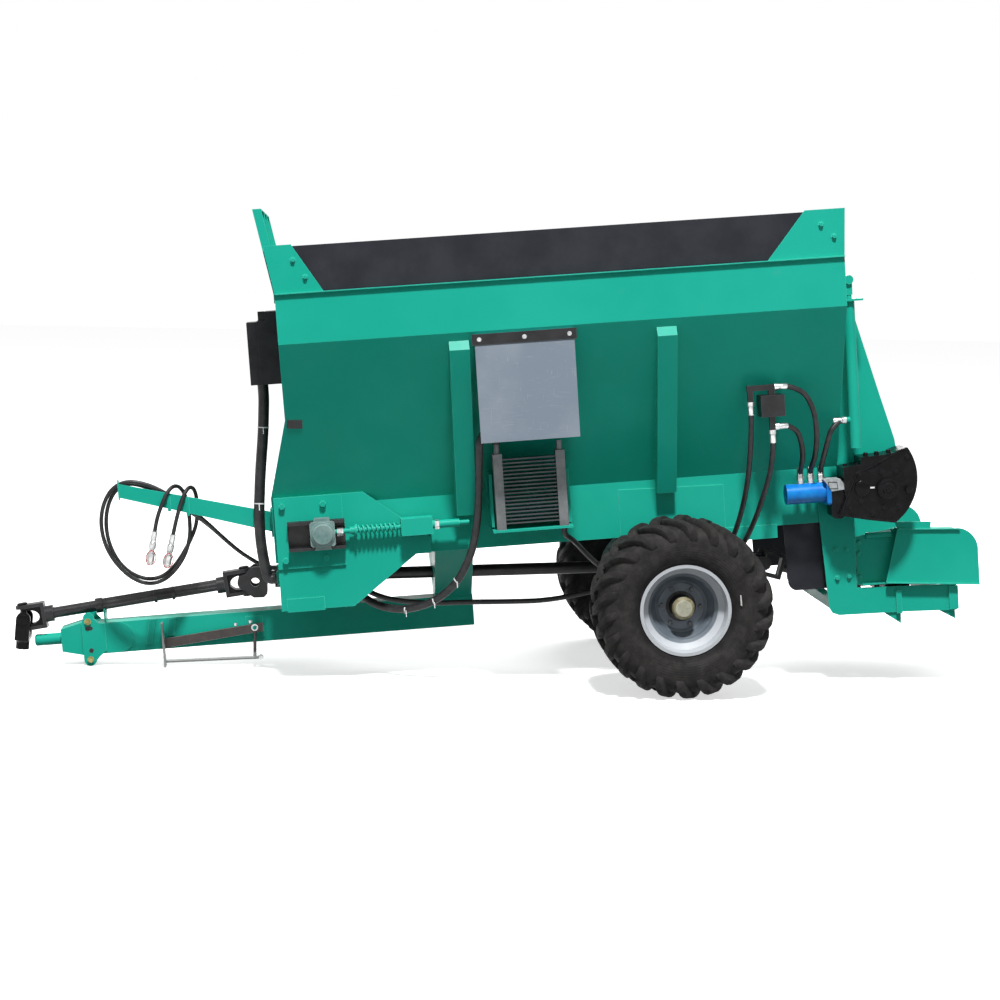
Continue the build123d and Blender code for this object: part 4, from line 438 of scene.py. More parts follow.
TRACTOR_HOSE_D = 0.020
TRACTOR_HOSES = {
    "a": (
        (1.955, 0.230, 0.262), (2.005, 0.230, 0.262), (2.062, 0.238, 0.304), (2.124, 0.250, 0.352),
        (2.180, 0.264, 0.408), (2.230, 0.280, 0.464), (2.278, 0.298, 0.520), (2.330, 0.318, 0.574),
        (2.388, 0.330, 0.626), (2.452, 0.332, 0.676), (2.522, 0.333, 0.724), (2.600, 0.334, 0.756),
        (2.672, 0.334, 0.764), (2.736, 0.335, 0.734), (2.780, 0.335, 0.668), (2.802, 0.333, 0.590),
        (2.802, 0.330, 0.505), (2.780, 0.325, 0.420), (2.738, 0.319, 0.345), (2.678, 0.312, 0.278),
        (2.600, 0.305, 0.238), (2.518, 0.298, 0.250), (2.448, 0.291, 0.308), (2.396, 0.285, 0.386),
        (2.372, 0.281, 0.470), (2.369, 0.280, 0.545), (2.372, 0.281, 0.615), (2.382, 0.290, 0.678),
        (2.404, 0.312, 0.718), (2.432, 0.342, 0.726), (2.460, 0.368, 0.702), (2.486, 0.377, 0.655),
        (2.510, 0.378, 0.605), (2.528, 0.378, 0.555), (2.539, 0.378, 0.509)),
    "b": (
        (1.955, 0.196, 0.262), (2.005, 0.196, 0.262), (2.062, 0.205, 0.300), (2.124, 0.218, 0.347),
        (2.180, 0.234, 0.402), (2.230, 0.252, 0.458), (2.280, 0.272, 0.512), (2.332, 0.294, 0.562),
        (2.390, 0.308, 0.608), (2.454, 0.309, 0.654), (2.520, 0.309, 0.700), (2.592, 0.309, 0.738),
        (2.660, 0.310, 0.752), (2.716, 0.311, 0.728), (2.756, 0.311, 0.670), (2.778, 0.309, 0.596),
        (2.782, 0.306, 0.514), (2.768, 0.302, 0.435), (2.734, 0.297, 0.358), (2.680, 0.291, 0.298),
        (2.604, 0.284, 0.260), (2.528, 0.277, 0.266), (2.466, 0.270, 0.312), (2.418, 0.264, 0.372),
        (2.374, 0.258, 0.440), (2.340, 0.256, 0.510), (2.328, 0.255, 0.584), (2.326, 0.265, 0.652),
        (2.334, 0.295, 0.700), (2.352, 0.338, 0.716), (2.376, 0.368, 0.692), (2.400, 0.377, 0.640),
        (2.420, 0.378, 0.585), (2.437, 0.378, 0.532), (2.450, 0.378, 0.487)),
}


def spline_length(hose):
    """Length of a hose's spline, read from the curve with no bevel."""
    depth = hose.data.bevel_depth
    hose.data.bevel_depth = 0
    line = bpy.data.meshes.new_from_object(hose)
    hose.data.bevel_depth = depth
    return sum((line.vertices[e.vertices[0]].co - line.vertices[e.vertices[1]].co).length for e in line.edges)


for key, points in TRACTOR_HOSES.items():
    hose = hose_curve("free_hose_" + key, route(points), TRACTOR_HOSE_D)
    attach(hose, "chassis")
    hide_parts("tractor_hose_" + key)
    spline_length(hose)


# ---------------------------------------------------------------- forms for the pieces
ROUND, HEXAGON = 24, 6
SHARP = radians(38)
LEFT, UP, DOWN, FORWARD, BACK = (0, 1, 0), (0, 0, 1), (0, 0, -1), (1, 0, 0), (-1, 0, 0)


def circle(steps):
    """Cosine and sine of each step round a circle."""
    return [(cos(2 * pi * i / steps), sin(2 * pi * i / steps)) for i in range(steps)]


class Form:
    """One joined mesh piece, made of simple forms in the machine's own frame."""

    def __init__(self, name, slot, body="chassis", finish=None):
        self.name, self.slot, self.body = name, slot, body
        self.finish_name = finish or slot
        self.mesh = bmesh.new()

    def rings(self, rows, caps=True):
        """Skin closed rows of points, each row joined to the next."""
        made = [[self.mesh.verts.new(point) for point in row] for row in rows]
        count = len(rows[0])
        for first, second in zip(made, made[1:]):
            for i in range(count):
                j = (i + 1) % count
                self.mesh.faces.new((first[i], first[j], second[j], second[i]))
        if caps:
            self.mesh.faces.new(made[0][::-1])
            self.mesh.faces.new(made[-1])

    def turned(self, profile, origin, axis, steps=ROUND):
        """A solid of revolution: distances along the axis and radii there."""
        axis = Vector(axis).normalized()
        across = axis.orthogonal().normalized()
        other = axis.cross(across)
        self.rings([[Vector(origin) + axis * distance + (across * c + other * s) * radius
                     for c, s in circle(steps)] for distance, radius in profile])

    def prism(self, outline, depth):
        """Straight prism on a closed outline of points, pushed through by a vector."""
        self.rings([[Vector(p) for p in outline], [Vector(p) + Vector(depth) for p in outline]])

    def plate(self, outline, y, thick):
        """Plate in the XZ plane, its outer face at y; both are negative on the right side."""
        self.prism([(x, y, z) for x, z in outline], (0, -thick, 0))

    def block(self, x_ends, z_ends, y, thick):
        """Rectangular plate in the XZ plane."""
        (x0, x1), (z0, z1) = x_ends, z_ends
        self.plate(((x0, z0), (x1, z0), (x1, z1), (x0, z1)), y, thick)

    def tube(self, points, radius, steps):
        """Round bar along a line of points."""
        points = [Vector(p) for p in points]
        side = (points[1] - points[0]).orthogonal().normalized()
        rows = []
        for i, point in enumerate(points):
            heading = (points[min(i + 1, len(points) - 1)] - points[max(i - 1, 0)]).normalized()
            side = (side - heading * side.dot(heading)).normalized()
            other = heading.cross(side)
            rows.append([point + (side * c + other * s) * radius for c, s in circle(steps)])
        self.rings(rows)

    def bolt(self, place, axis, radius, tall):
        """Hexagon head with a chamfered top, on a washer."""
        washer_radius, base = radius * 1.35, radius * 0.22
        self.turned(((0, washer_radius), (base, washer_radius)), place, axis, 20)
        head = ((base, radius), (base + tall * 0.8, radius), (base + tall, radius * 0.82))
        self.turned(head, place, axis, HEXAGON)

    def done(self, *replaced):
        """Turn the forms into the finished piece, on its body and with its finish."""
        bmesh.ops.recalc_face_normals(self.mesh, faces=self.mesh.faces)
        mesh = bpy.data.meshes.new(self.name)
        self.mesh.to_mesh(mesh)
        self.mesh.free()
        mesh.transform(PARKED)
        mesh.polygons.foreach_set("use_smooth", [True] * len(mesh.polygons))
        mesh.set_sharp_from_angle(angle=SHARP)
        piece = bpy.data.objects.new(self.name, mesh)
        bpy.context.scene.collection.objects.link(piece)
        mesh.materials.append(FINISHES[self.finish_name])
        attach(piece, self.body)
        for node in replaced:
            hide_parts(node)
        return piece


def both_sides(places):
    """Places on the left with their mirror images, each with the way it faces."""
    return [((x, side * y, z), (0, side, 0)) for x, y, z in places for side in (1, -1)]


def left_reach(node):
    """How far a node reaches to the left."""
    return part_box(node)[1][1]


# ---------------------------------------------------------------- tyres
LUGS, TYRE_STEPS = 22, 132
# radius and distance from the wheel's centre plane, from bead to crown
WALL = (
    (0.2085, 0.150), (0.222, 0.157), (0.232, 0.166), (0.252, 0.181), (0.285, 0.192), (0.320, 0.1945),
    (0.355, 0.188), (0.384, 0.172), (0.402, 0.146), (0.409, 0.105), (0.411, 0.050),
)
# along a lug: carcass radius and reach, tread radius and reach, turn back in degrees, half width
LUG_STATIONS = (
    (0.400, -0.012, 0.428, -0.004, -0.6, 0.020), (0.404, 0.000, 0.4365, 0.006, -1.6, 0.023),
    (0.404, 0.050, 0.4365, 0.050, -3.2, 0.023), (0.402, 0.095, 0.4365, 0.095, -5.6, 0.023),
    (0.396, 0.130, 0.434, 0.132, -8.2, 0.023), (0.384, 0.155, 0.426, 0.163, -11.0, 0.0225),
    (0.370, 0.172, 0.412, 0.184, -13.6, 0.022), (0.352, 0.182, 0.392, 0.196, -15.6, 0.021),
    (0.338, 0.184, 0.368, 0.1995, -16.8, 0.019), (0.330, 0.186, 0.352, 0.1975, -17.4, 0.014),
    (0.326, 0.188, 0.343, 0.192, -17.7, 0.008),
)
# across a lug: share of the half width, and of the height there
LUG_ACROSS = (
    (-1.24, 0.0), (-1.12, 0.45), (-1.0, 0.86), (-0.80, 1.0),
    (0.80, 1.0), (1.0, 0.86), (1.12, 0.45), (1.24, 0.0),
)
# radius, and turn from the top in degrees
MARK_CORNERS = ((0.268, -77.0), (0.262, -88.0), (0.2685, -88.6), (0.2745, -77.4))
MARK_REACH, MARK_HEIGHT = 0.1935, 0.0025


def wheel_point(radius, reach, turn, side):
    """A point of a wheel, by its radius, reach from the wheel's centre plane and turn from the top."""
    return (radius * sin(turn), side * (TRACK_HALF + reach), radius * cos(turn))


def lug_section(station, turn, hand, side):
    """One cross-section of a lug, from its foot over its top and down to its foot."""
    low, low_reach, high, high_reach, back, half = station
    points = []
    for across, share in LUG_ACROSS:
        reach = hand * (low_reach + (high_reach - low_reach) * share)
        around = turn + radians(back) + half * across / high
        points.append(wheel_point(low + (high - low) * share, reach, around, side))
    return points


def tyre(name, side):
    """A flotation tyre: a rounded carcass with a chevron of swept lugs."""
    form = Form("tread_" + name, "tyre_rubber", "wheel_" + name)
    section = [*WALL, *[(radius, -reach) for radius, reach in reversed(WALL)]]
    form.rings([[wheel_point(radius, reach, 2 * pi * i / TYRE_STEPS, side) for radius, reach in section]
                for i in range(TYRE_STEPS + 1)], caps=False)
    bmesh.ops.remove_doubles(form.mesh, verts=form.mesh.verts, dist=0.00001)
    for lug in range(2 * LUGS):
        hand = 1 if lug % 2 else -1
        form.rings([lug_section(station, pi * lug / LUGS, hand, side) for station in LUG_STATIONS])
    form.done("tyre_" + name)


def wall_mark():
    """The short pale moulding mark on the near tyre's wall."""
    form = Form("wall_mark", "hub_paint", "wheel_left", "pale_mark")
    corners = [wheel_point(radius, MARK_REACH, radians(turn), 1) for radius, turn in MARK_CORNERS]
    form.prism(corners, (0, MARK_HEIGHT, 0))
    form.done()


# ---------------------------------------------------------------- hopper and hitch fasteners
CORNER_Y, DECK_Y, INNER_Y = left_reach("corner_plates"), 0.530, 0.500
PAINTED_BOLTS = (
    (-0.837, DECK_Y, 0.182), (-0.892, DECK_Y, 0.178), (-0.837, DECK_Y, 0.037), (-0.897, DECK_Y, 0.040),
    (-0.962, INNER_Y, 0.205), (-0.962, INNER_Y, 0.150), (-0.962, INNER_Y, 0.032),
    (1.753, CORNER_Y, 1.798), (1.701, CORNER_Y, 1.715), (-0.760, CORNER_Y, 1.800), (-0.820, CORNER_Y, 1.740),
)
HITCH_BOLTS = ((2.936, 0.094, 0.043), (2.936, 0.094, -0.152))
# faces of the hitch plates, and how far the black discs of painted shade for the hole and slot lie on them
HITCH_Y, HOLE_DEPTH = 0.0838, 0.0009
HOLE, HOLE_R = (2.930, HITCH_Y, -0.108), 0.0122
# centre, half length of the straight part, and half width and half height of the ends
SLOT, SLOT_HALF, SLOT_END = (2.934, 0.006), 0.010, (0.009, 0.010)
LABEL_CORNERS = (
    (1.840, 0.7425, 1.039), (1.766, 0.7395, 1.033), (1.769, 0.7185, 0.991), (1.843, 0.7215, 0.997),
)


def painted_bolts():
    """Bolts sprayed over with the hopper, on the corner plates and on the deck's side plates."""
    form = Form("painted_bolts", "teal_paint")
    for place, facing in both_sides(PAINTED_BOLTS):
        form.bolt(place, facing, 0.011, 0.012)
    form.done()


def hitch_bolts():
    """Yellow-zinc bolts through the hitch plates."""
    form = Form("hitch_bolts", "zinc_steel", finish="gold_zinc")
    for place, facing in both_sides(HITCH_BOLTS):
        form.bolt(place, facing, 0.0125, 0.012)
    form.done()


def hitch_hole_shade():
    """Black discs of painted shade for the hole and slot of the hitch plates."""
    form = Form("hitch_hole_shade", "black_paint")
    # painted shade: black discs laid on the plates where the hole and slot are
    for place, facing in both_sides((HOLE,)):
        form.turned(((0, HOLE_R), (HOLE_DEPTH, HOLE_R)), place, facing, 20)
    outline = []
    for start, shift in ((pi / 2, -SLOT_HALF), (-pi / 2, SLOT_HALF)):
        for turn in (start + pi * i / 8 for i in range(9)):
            outline.append((SLOT[0] + SLOT_END[0] * cos(turn) + shift, SLOT[1] + SLOT_END[1] * sin(turn)))
    for side in (1, -1):
        form.plate(outline, side * HITCH_Y, -side * HOLE_DEPTH)
    form.done()


def blank_label():
    """A small dark plate with nothing on it, near the hopper's front edge."""
    form = Form("blank_plate", "black_paint")
    form.prism(LABEL_CORNERS, (0, 0.0018, -0.0009))
    form.done()


# ---------------------------------------------------------------- conveyor gearbox and motor
BOSS_HEIGHT = 0.026
COVER_Y = left_reach("conveyor_gearbox") - BOSS_HEIGHT
COVER_BOLTS = (
    (-0.930, 0.572), (-0.931, 0.435), (-1.042, 0.572), (-1.113, 0.570), (-1.117, 0.397),
    (-1.048, 0.398), (-1.170, 0.640), (-0.990, 0.372), (-0.880, 0.398),
)
COVER_EDGE = (
    (-1.105, 0.322), (-0.967, 0.346), (-0.832, 0.375), (-0.878, 0.483),
    (-0.923, 0.577), (-0.997, 0.600), (-1.130, 0.667), (-1.178, 0.680),
)
BOSS_X, BOSS_Z = -1.068, 0.488
# radius and height of each step of the boss
BOSS_STEPS = ((0.047, 0.006), (0.030, 0.012), (0.012, 0.020))
PINION_CAP = (-0.945, COVER_Y, 0.500)
CROWN_Y, CROWN_DEPTH, CROWN_BOLT_Y = 0.7145, 0.150, 0.690
CROWN = (
    (-0.862, 0.420), (-0.854, 0.606), (-0.946, 0.618), (-0.944, 0.652),
    (-1.060, 0.656), (-1.150, 0.668), (-1.110, 0.500), (-0.960, 0.420),
)
MOUNT_Y, MOUNT_DEPTH = 0.704, 0.09
MOUNT = ((-0.758, 0.555), (-0.839, 0.553), (-0.879, 0.500), (-0.796, 0.494))
# corners of the line pressed into the mount: front top, rear top, rear bottom, front bottom
INSET_A, INSET_B, INSET_C, INSET_D = (-0.779, 0.541), (-0.822, 0.538), (-0.827, 0.505), (-0.784, 0.508)
PORT_X, PORT_Y, PORT_Z = (-0.757, -0.706, -0.655), 0.640, 0.552
# distance from the port and radius
PORT_FERRULE = ((0, 0.019), (0.022, 0.019), (0.026, 0.0155), (0.060, 0.0165), (0.064, 0.014))
HOSE_FERRULE = ((0, 0.018), (0.020, 0.018), (0.022, 0.0145), (0.060, 0.0155), (0.064, 0.0135))
# hose ends at the valve and at the cylinder, and the way each points
HOSE_ENDS = (
    ((-0.518, 0.799, 1.034), BACK), ((-0.512, 0.799, 0.842), BACK), ((-0.399, 0.799, 0.968), DOWN),
    ((-0.499, 0.799, 0.826), DOWN), ((-0.886, 0.690, 0.839), FORWARD),
)


def gearbox_fittings():
    """Bolts, stepped boss, pinion cap and raised edge of the gearbox's cover."""
    form = Form("gearbox_fittings", "cast_black")
    for x, z in COVER_BOLTS:
        form.bolt((x, COVER_Y, z), LEFT, 0.011, 0.010)
    for radius, tall in BOSS_STEPS:
        step = ((0, radius), (tall * 0.7, radius), (tall, radius * 0.9))
        form.turned(step, (BOSS_X, COVER_Y + BOSS_HEIGHT, BOSS_Z), LEFT, 32)
    form.turned(((0, 0.038), (0.010, 0.038), (0.013, 0.034)), PINION_CAP, LEFT, 32)
    form.tube([(x, COVER_Y - 0.001, z) for x, z in COVER_EDGE], 0.006, 8)
    form.done()


def gearbox_plate():
    """A small blank plate on the cover."""
    form = Form("gearbox_plate", "zinc_steel")
    form.block((-0.9765, -1.0075), (0.495, 0.503), COVER_Y + 0.0016, 0.0016)
    form.done()


def gearbox_crown():
    """The upper part of the gearbox's casting, stepped along its top, with its bolts."""
    form = Form("gearbox_crown", "cast_black")
    form.plate(CROWN, CROWN_Y, CROWN_DEPTH)
    for x, z in ((-0.975, 0.654), (-1.030, 0.656), (-1.090, 0.662)):
        form.turned(((0, 0.012), (0.014, 0.012), (0.018, 0.009)), (x, CROWN_BOLT_Y, z), UP, 12)
    for x in (-0.870, -0.930):
        form.turned(((0, 0.009), (0.012, 0.009)), (x, CROWN_BOLT_Y, 0.612), UP, HEXAGON)
    form.done()


def motor_mount():
    """Grey mounting block over the motor's flange, with black bars of painted shade along the square groove
    pressed into it.
    """
    form = Form("motor_mount", "cast_grey", finish="pale_casting")
    form.plate(MOUNT, MOUNT_Y, MOUNT_DEPTH)
    form.done()
    # painted shade: thin black bars drawn along the pressed groove
    groove_shade = Form("motor_mount_groove_shade", "cast_black")
    for ends in ((INSET_A, INSET_B), (INSET_D, INSET_C), (INSET_A, INSET_D), (INSET_B, INSET_C)):
        groove_shade.tube([(x, MOUNT_Y + 0.0005, z) for x, z in ends], 0.0016, 6)
    groove_shade.done()


def hose_ends():
    """Crimped ends of the hoses, at the motor, the valve and the cylinder."""
    form = Form("hose_ends", "zinc_steel")
    for x in PORT_X:
        form.turned(PORT_FERRULE, (x, PORT_Y, PORT_Z), UP, HEXAGON)
    for place, heading in HOSE_ENDS:
        form.turned(HOSE_FERRULE, place, heading, 12)
    form.done()


# ---------------------------------------------------------------- visor and tensioners
STRIP_X, STRIP_Z, STRIP_Y, STRIP_THICK = (0.440, 0.940), (1.340, 1.392), 0.9415, 0.003
BEARING_X, BEARING_Z = 1.710, 0.462
# radius, distance from the machine's middle and height of each step of a bearing's face
BEARING_STEPS = ((0.060, 0.630, 0.010), (0.050, 0.640, 0.016))
# lower and upper edge of each guide shoe
SHOES, SHOE_Y, SHOE_DEPTH = ((0.524, 0.540), (0.384, 0.400)), 0.626, 0.050
ROD_Y, ROD_Z = 0.600, 0.466
# place along the rod, radius and height of each nut
ROD_NUTS = ((1.610, 0.022, 0.030), (1.560, 0.020, 0.016), (1.140, 0.024, 0.020))
RAIL_X, RAILS, RAIL_Y, RAIL_DEPTH = (1.602, 1.880), ((0.384, 0.398), (0.512, 0.528)), 0.618, 0.080
# a black plate of painted shade that fills each bearing's window behind the rails
SHADE_PLATE_X, SHADE_PLATE_Z, SHADE_PLATE_Y, SHADE_PLATE_THICK = (1.585, 1.895), (0.372, 0.538), 0.545, 0.008
# place, heading of the hose there and radius round it
TIES = (
    ((1.073, 0.615, 0.180), (0.75, -0.20, -0.63), 0.0205),
    ((1.190, 0.585, 0.083), (0.94, -0.26, -0.22), 0.0205),
    ((1.330, 0.520, 0.042), (0.93, -0.38, 0.02), 0.0205),
    ((1.966, 0.3555, 0.985), (0.10, 0.04, -1.0), 0.0285),
    ((2.014, 0.388, 0.610), (0.10, 0.10, -1.0), 0.0285),
)
TAIL = ((-0.002, 0, 0), (0.002, 0, 0), (0.002, 0.012, -0.030), (-0.002, 0.012, -0.030))


def visor_strip():
    """Black clamp strip with three bolts along the visor's top."""
    strip = Form("visor_strip", "black_paint")
    strip.block(STRIP_X, STRIP_Z, STRIP_Y, STRIP_THICK)
    strip.done()
    bolts = Form("visor_bolts", "zinc_steel")
    for x in (0.905, 0.690, 0.475):
        bolts.bolt((x, STRIP_Y, sum(STRIP_Z) / 2), LEFT, 0.008, 0.006)
    bolts.done()


def bearing_faces():
    """Stepped faces and guide shoes of both forged bearing housings."""
    form = Form("bearing_faces", "cast_grey")
    for side in (1, -1):
        for radius, start, tall in BEARING_STEPS:
            step = ((0, radius), (tall * 0.8, radius), (tall, radius * 0.93))
            form.turned(step, (BEARING_X, side * start, BEARING_Z), (0, side, 0), 36)
        for low, high in SHOES:
            shoe = ((1.672, low), (1.752, low), (1.748, high), (1.676, high))
            form.plate(shoe, side * SHOE_Y, side * SHOE_DEPTH)
    form.done()


def tensioner_nuts():
    """Bright nuts on both tensioner rods."""
    form = Form("tensioner_nuts", "zinc_steel")
    for side in (1, -1):
        for x, radius, tall in ROD_NUTS:
            form.turned(((0, radius), (tall, radius)), (x, side * ROD_Y, ROD_Z), FORWARD, HEXAGON)
    form.done()


def window_rails():
    """Black slide rails of both bearings, and a black plate of painted shade that fills the window behind
    them.
    """
    form = Form("window_rails", "black_paint")
    for side in (1, -1):
        for rail in RAILS:
            form.block(RAIL_X, rail, side * RAIL_Y, side * RAIL_DEPTH)
        # painted shade: a black plate fills the window behind the rails
        form.block(SHADE_PLATE_X, SHADE_PLATE_Z, side * SHADE_PLATE_Y, side * SHADE_PLATE_THICK)
    form.done()


def cable_ties():
    """White cable ties round the cooler's hose and the front sleeve, each with its tail."""
    form = Form("cable_ties", "hub_paint", finish="white_tie")
    for place, heading, radius in TIES:
        form.turned(((-0.003, radius), (0.003, radius)), place, heading, 20)
        start = Vector(place) + Vector((0, radius, 0))
        form.prism([start + Vector(step) for step in TAIL], (0, 0.0015, 0.0005))
    form.done()


# ---------------------------------------------------------------- drive shaft
JOINT_REAR, JOINT_FRONT = Vector((2.125, 0, 0.178)), Vector((3.262, 0, 0.076))
SHAFT_HEADING = (JOINT_FRONT - JOINT_REAR).normalized()
SHAFT_ACROSS = SHAFT_HEADING.cross(Vector(LEFT)).normalized()
# how far the front yoke droops below level
DROOP = radians(81)
# of a web: half width, half height inside the fork, and its arch's centre and half axes
WEB_HALF, WEB_HIGH, ARCH_CENTRE, ARCH_HALF = 0.035, 0.0485, 0.030, (0.050, 0.036)
WEB_END, WEB_BACK, WEB_CHAMFER = -0.004, 0.109, 0.040
EAR_REACH = 0.066
# distance from the joint, half width and half thickness of the front yoke's body
NOSE_SECTIONS = (
    (0.030, 0.030, 0.040), (0.060, 0.036, 0.048), (0.092, 0.036, 0.050), (0.112, 0.034, 0.050),
    (0.124, 0.030, 0.038),
)


def web_outline():
    """Half of a web, in distances along the shaft from the joint and up from its line."""
    quarter = [(ARCH_CENTRE + ARCH_HALF[0] * sin(turn), ARCH_HALF[1] * cos(turn))
               for turn in (pi / 2 * i / 6 for i in range(6, -1, -1))]
    return [(WEB_END, WEB_HIGH), (0.100, WEB_HIGH), (WEB_BACK, WEB_CHAMFER), (WEB_BACK, 0), *quarter,
            (WEB_END, ARCH_HALF[1])]


def yoke_webs():
    """Curved webs that round off the forks at both ends of the drive shaft, and their bearing caps."""
    form = Form("yoke_webs", "cast_black", "pto_shaft")
    wide = Vector(LEFT) * WEB_HALF
    for joint, along in ((JOINT_REAR, SHAFT_HEADING), (JOINT_FRONT, -SHAFT_HEADING)):
        for up in (1, -1):
            outline = [joint + along * u + SHAFT_ACROSS * (up * v) + wide for u, v in web_outline()]
            form.prism(outline, -2 * wide)
        for up in (1, -1):
            cap = ((0, 0.026), (0.008, 0.026), (0.011, 0.022))
            form.turned(cap, joint + SHAFT_ACROSS * (up * EAR_REACH), SHAFT_ACROSS * up)
    form.done()


def tube_bands():
    """Black bands round the shaft's outer tube."""
    form = Form("tube_bands", "black_paint", "pto_shaft")
    for share in (0.33, 0.41):
        place = JOINT_REAR + (JOINT_FRONT - JOINT_REAR) * share
        form.turned(((-0.006, 0.0345), (0.006, 0.0345)), place, SHAFT_HEADING, 32)
    form.done()


def yoke_nose():
    """The front yoke's rounded body and its bearing caps."""
    form = Form("yoke_nose", "cast_black", "pto_yoke")
    down = Vector((cos(DROOP), 0, -sin(DROOP)))
    beside = down.cross(Vector(LEFT)).normalized()
    for side in (1, -1):
        cap = ((0, 0.027), (0.010, 0.027), (0.013, 0.022))
        form.turned(cap, JOINT_FRONT + Vector((0, side * EAR_REACH, 0)), (0, side, 0))
    form.rings([[JOINT_FRONT + down * u + beside * (wide * c) + Vector((0, thick * s, 0))
                 for c, s in circle(ROUND)] for u, wide, thick in NOSE_SECTIONS])
    form.done()


# ---------------------------------------------------------------- couplers and stand
# start, end and radius of each ring on a coupler, with its number of sides
COUPLER_RINGS = (
    (0.056, 0.084, 0.0185, HEXAGON), (0.108, 0.112, 0.0205, ROUND), (0.144, 0.148, 0.0205, ROUND),
)
LOOP_LONG, LOOP_WIDE, LOOP_STEPS = 0.036, 0.024, 20


def coupler_rings():
    """Hexagon ferrules on both couplers, and the red cord loops of their caps."""
    for key, points in TRACTOR_HOSES.items():
        end = Vector(points[-1])
        heading = (end - Vector(points[-2])).normalized()
        ferrule = Form("ferrule_" + key, "zinc_steel")
        for start, stop, radius, sides in COUPLER_RINGS:
            ferrule.turned(((start, radius), (stop, radius)), end, heading, sides)
        ferrule.done()
        loop = Form("cap_cord_" + key, "hose_rubber", finish="red_cord")
        centre = end + heading * 0.118 + Vector((0, 0.022, -0.012))
        across = heading.cross(Vector(LEFT)).normalized()
        loop.tube([centre + heading * LOOP_LONG * c + across * LOOP_WIDE * s for c, s in circle(LOOP_STEPS)],
                  0.0022, 6)
        loop.done()


def stand_fittings():
    """Silver nuts on the stand's leg and pivot."""
    form = Form("stand_nuts", "zinc_steel", "stand")
    for x, z in ((2.115, -0.026), (2.190, -0.034)):
        form.turned(((0, 0.010), (0.012, 0.010), (0.014, 0.008)), (x, 0.102, z), UP, HEXAGON)
    form.bolt((2.095, 0.1085, -0.050), LEFT, 0.013, 0.009)
    form.turned(((0, 0.012), (0.030, 0.012)), (2.074, 0.097, -0.205), LEFT, 12)
    form.done()


tyre("left", 1)
tyre("right", -1)
wall_mark()
painted_bolts()
hitch_bolts()
hitch_hole_shade()
gearbox_fittings()
gearbox_plate()
motor_mount()
hose_ends()
visor_strip()
bearing_faces()
tensioner_nuts()
cable_ties()
blank_label()
yoke_webs()
tube_bands()
yoke_nose()
window_rails()
gearbox_crown()
coupler_rings()
stand_fittings()


# ---------------------------------------------------------------- floor, light and camera
def white_for_camera(tree, lit_shader, white_shader, output):
    """Show one shader to camera, glossy and transmitted rays, and another to the light."""
    path = tree.nodes.new("ShaderNodeLightPath")
    either = tree.nodes.new("ShaderNodeMath")
    either.operation = "MAXIMUM"
    seen = tree.nodes.new("ShaderNodeMath")
    seen.operation = "MAXIMUM"
    mixer = tree.nodes.new("ShaderNodeMixShader")
    tree.links.new(path.outputs["Is Camera Ray"], either.inputs[0])
    tree.links.new(path.outputs["Is Glossy Ray"], either.inputs[1])
    tree.links.new(either.outputs["Value"], seen.inputs[0])
    tree.links.new(path.outputs["Is Transmission Ray"], seen.inputs[1])
    tree.links.new(seen.outputs["Value"], mixer.inputs[0])
    tree.links.new(lit_shader, mixer.inputs[1])
    tree.links.new(white_shader, mixer.inputs[2])
    tree.links.new(mixer.outputs["Shader"], output)


def grey(level):
    return (level, level, level, 1)


SKY_STRENGTH = 0.45
# height in the sky, from 0 below to 1 overhead, and how bright it is there
SKY_LOW, SKY_HIGH = (0.30, 0.14), (0.80, 1.0)


def build_world():
    """Pale overhead light that falls off towards the floor, white where it is seen."""
    world = bpy.data.worlds.new("studio")
    bpy.context.scene.world = world
    world.use_nodes = True
    tree = world.node_tree
    tree.nodes.clear()
    output = tree.nodes.new("ShaderNodeOutputWorld")
    direction = tree.nodes.new("ShaderNodeTexCoord")
    split = tree.nodes.new("ShaderNodeSeparateXYZ")
    ramp = tree.nodes.new("ShaderNodeValToRGB")
    for stop, (height, level) in zip(ramp.color_ramp.elements, (SKY_LOW, SKY_HIGH)):
        stop.position = height
        stop.color = grey(level)
    lift = tree.nodes.new("ShaderNodeMath")
    lift.operation = "MULTIPLY_ADD"
    lift.inputs[1].default_value = 0.5
    lift.inputs[2].default_value = 0.5
    lit = tree.nodes.new("ShaderNodeBackground")
    lit.inputs["Strength"].default_value = SKY_STRENGTH
    seen = tree.nodes.new("ShaderNodeBackground")
    seen.inputs["Strength"].default_value = 1.0
    seen.inputs["Color"].default_value = grey(1)
    tree.links.new(direction.outputs["Generated"], split.inputs["Vector"])
    tree.links.new(split.outputs["Z"], lift.inputs[0])
    tree.links.new(lift.outputs["Value"], ramp.inputs["Fac"])
    tree.links.new(ramp.outputs["Color"], lit.inputs["Color"])
    white_for_camera(tree, lit.outputs[0], seen.outputs[0], output.inputs["Surface"])


FLOOR_HALF, FLOOR_TO_LIGHT, FLOOR_TO_EYE, FLOOR_GLOW = 60, 0.16, 0.8, 0.62


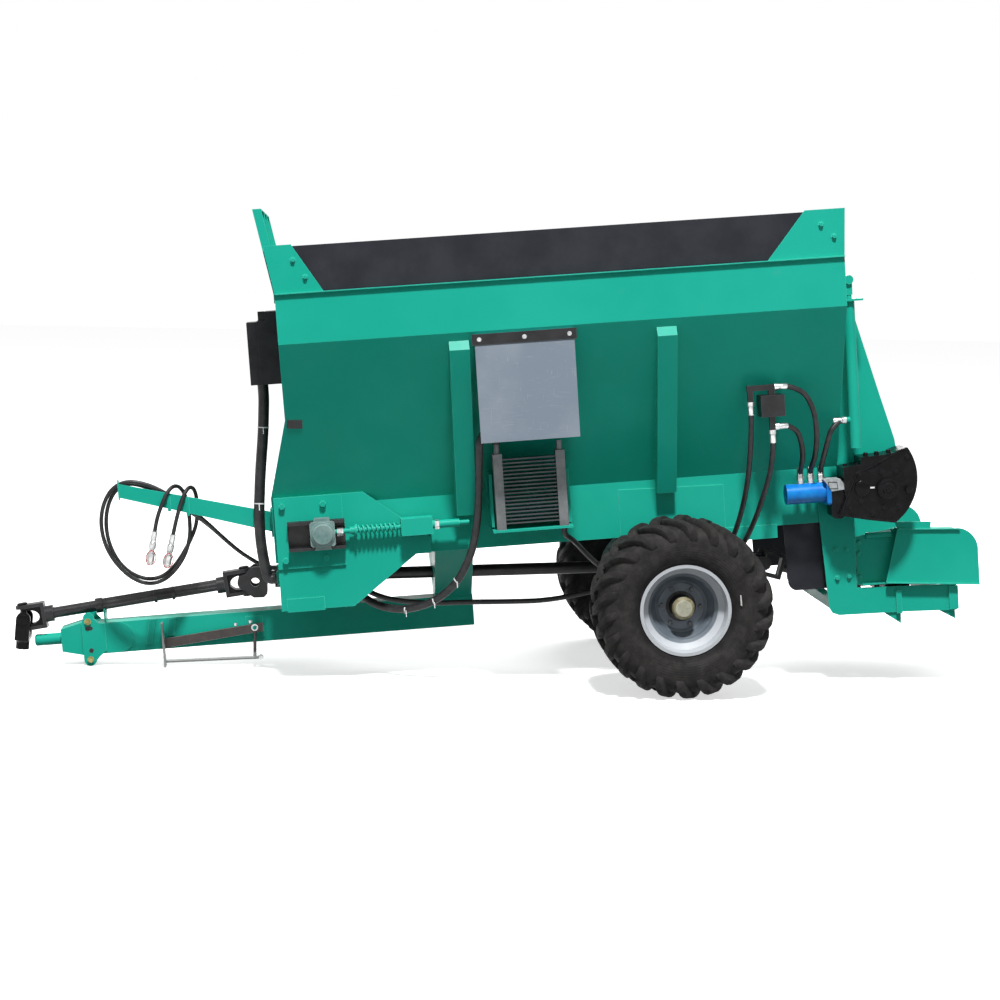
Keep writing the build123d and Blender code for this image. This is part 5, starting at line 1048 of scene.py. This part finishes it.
def build_floor():
    """A dull floor to the lamps and a white one to the eye, where the machine's shadow still shows."""
    mesh = bpy.data.meshes.new("floor")
    corners = [(FLOOR_HALF * x, FLOOR_HALF * y, 0) for x, y in ((-1, -1), (1, -1), (1, 1), (-1, 1))]
    mesh.from_pydata(corners, [], [(0, 1, 2, 3)])
    floor = bpy.data.objects.new("floor", mesh)
    bpy.context.scene.collection.objects.link(floor)
    material = bpy.data.materials.new("floor")
    material.use_nodes = True
    tree = material.node_tree
    tree.nodes.clear()
    output = tree.nodes.new("ShaderNodeOutputMaterial")
    dull = tree.nodes.new("ShaderNodeBsdfDiffuse")
    dull.inputs["Color"].default_value = grey(FLOOR_TO_LIGHT)
    pale = tree.nodes.new("ShaderNodeBsdfDiffuse")
    pale.inputs["Color"].default_value = grey(FLOOR_TO_EYE)
    glow = tree.nodes.new("ShaderNodeEmission")
    glow.inputs["Strength"].default_value = FLOOR_GLOW
    both = tree.nodes.new("ShaderNodeAddShader")
    tree.links.new(pale.outputs[0], both.inputs[0])
    tree.links.new(glow.outputs[0], both.inputs[1])
    white_for_camera(tree, dull.outputs[0], both.outputs[0], output.inputs["Surface"])
    floor.data.materials.append(material)


# name, place, point aimed at, size and power
LIGHTS = (
    ("key", (0.5, 11.9, 20.0), (0, 0.9, 1.0), 2.4, 6200),
    ("back", (-2.5, -8.0, 6.5), (0, -0.5, 1.0), 5.0, 650),
)


def build_lights():
    for name, place, aim, size, power in LIGHTS:
        light = bpy.data.lights.new(name, "AREA")
        light.shape = "DISK"
        light.size = size
        light.energy = power
        lamp = bpy.data.objects.new(name, light)
        lamp.location = place
        lamp.rotation_euler = (Vector(aim) - Vector(place)).to_track_quat("-Z", "Y").to_euler()
        bpy.context.scene.collection.objects.link(lamp)


CAMERA_PLACE = (0.9132, 11.9478, 2.0685)
CAMERA_YAW, CAMERA_PITCH, CAMERA_ROLL = radians(4.588), radians(5.732), radians(1.092)
LENS, SENSOR, FAR_CLIP = 83.88, 36, 200


def build_camera():
    camera = bpy.data.cameras.new("camera")
    camera.lens = LENS
    camera.sensor_width = SENSOR
    camera.clip_end = FAR_CLIP
    holder = bpy.data.objects.new("camera", camera)
    holder.matrix_world = (
        Matrix.Translation(CAMERA_PLACE) @ Matrix.Rotation(pi - CAMERA_YAW, 4, "Z")
        @ Matrix.Rotation(pi / 2 - CAMERA_PITCH, 4, "X") @ Matrix.Rotation(CAMERA_ROLL, 4, "Z"))
    bpy.context.scene.collection.objects.link(holder)
    bpy.context.scene.camera = holder


build_world()
build_floor()
build_lights()
build_camera()
bpy.context.scene.view_settings.view_transform = "Standard"
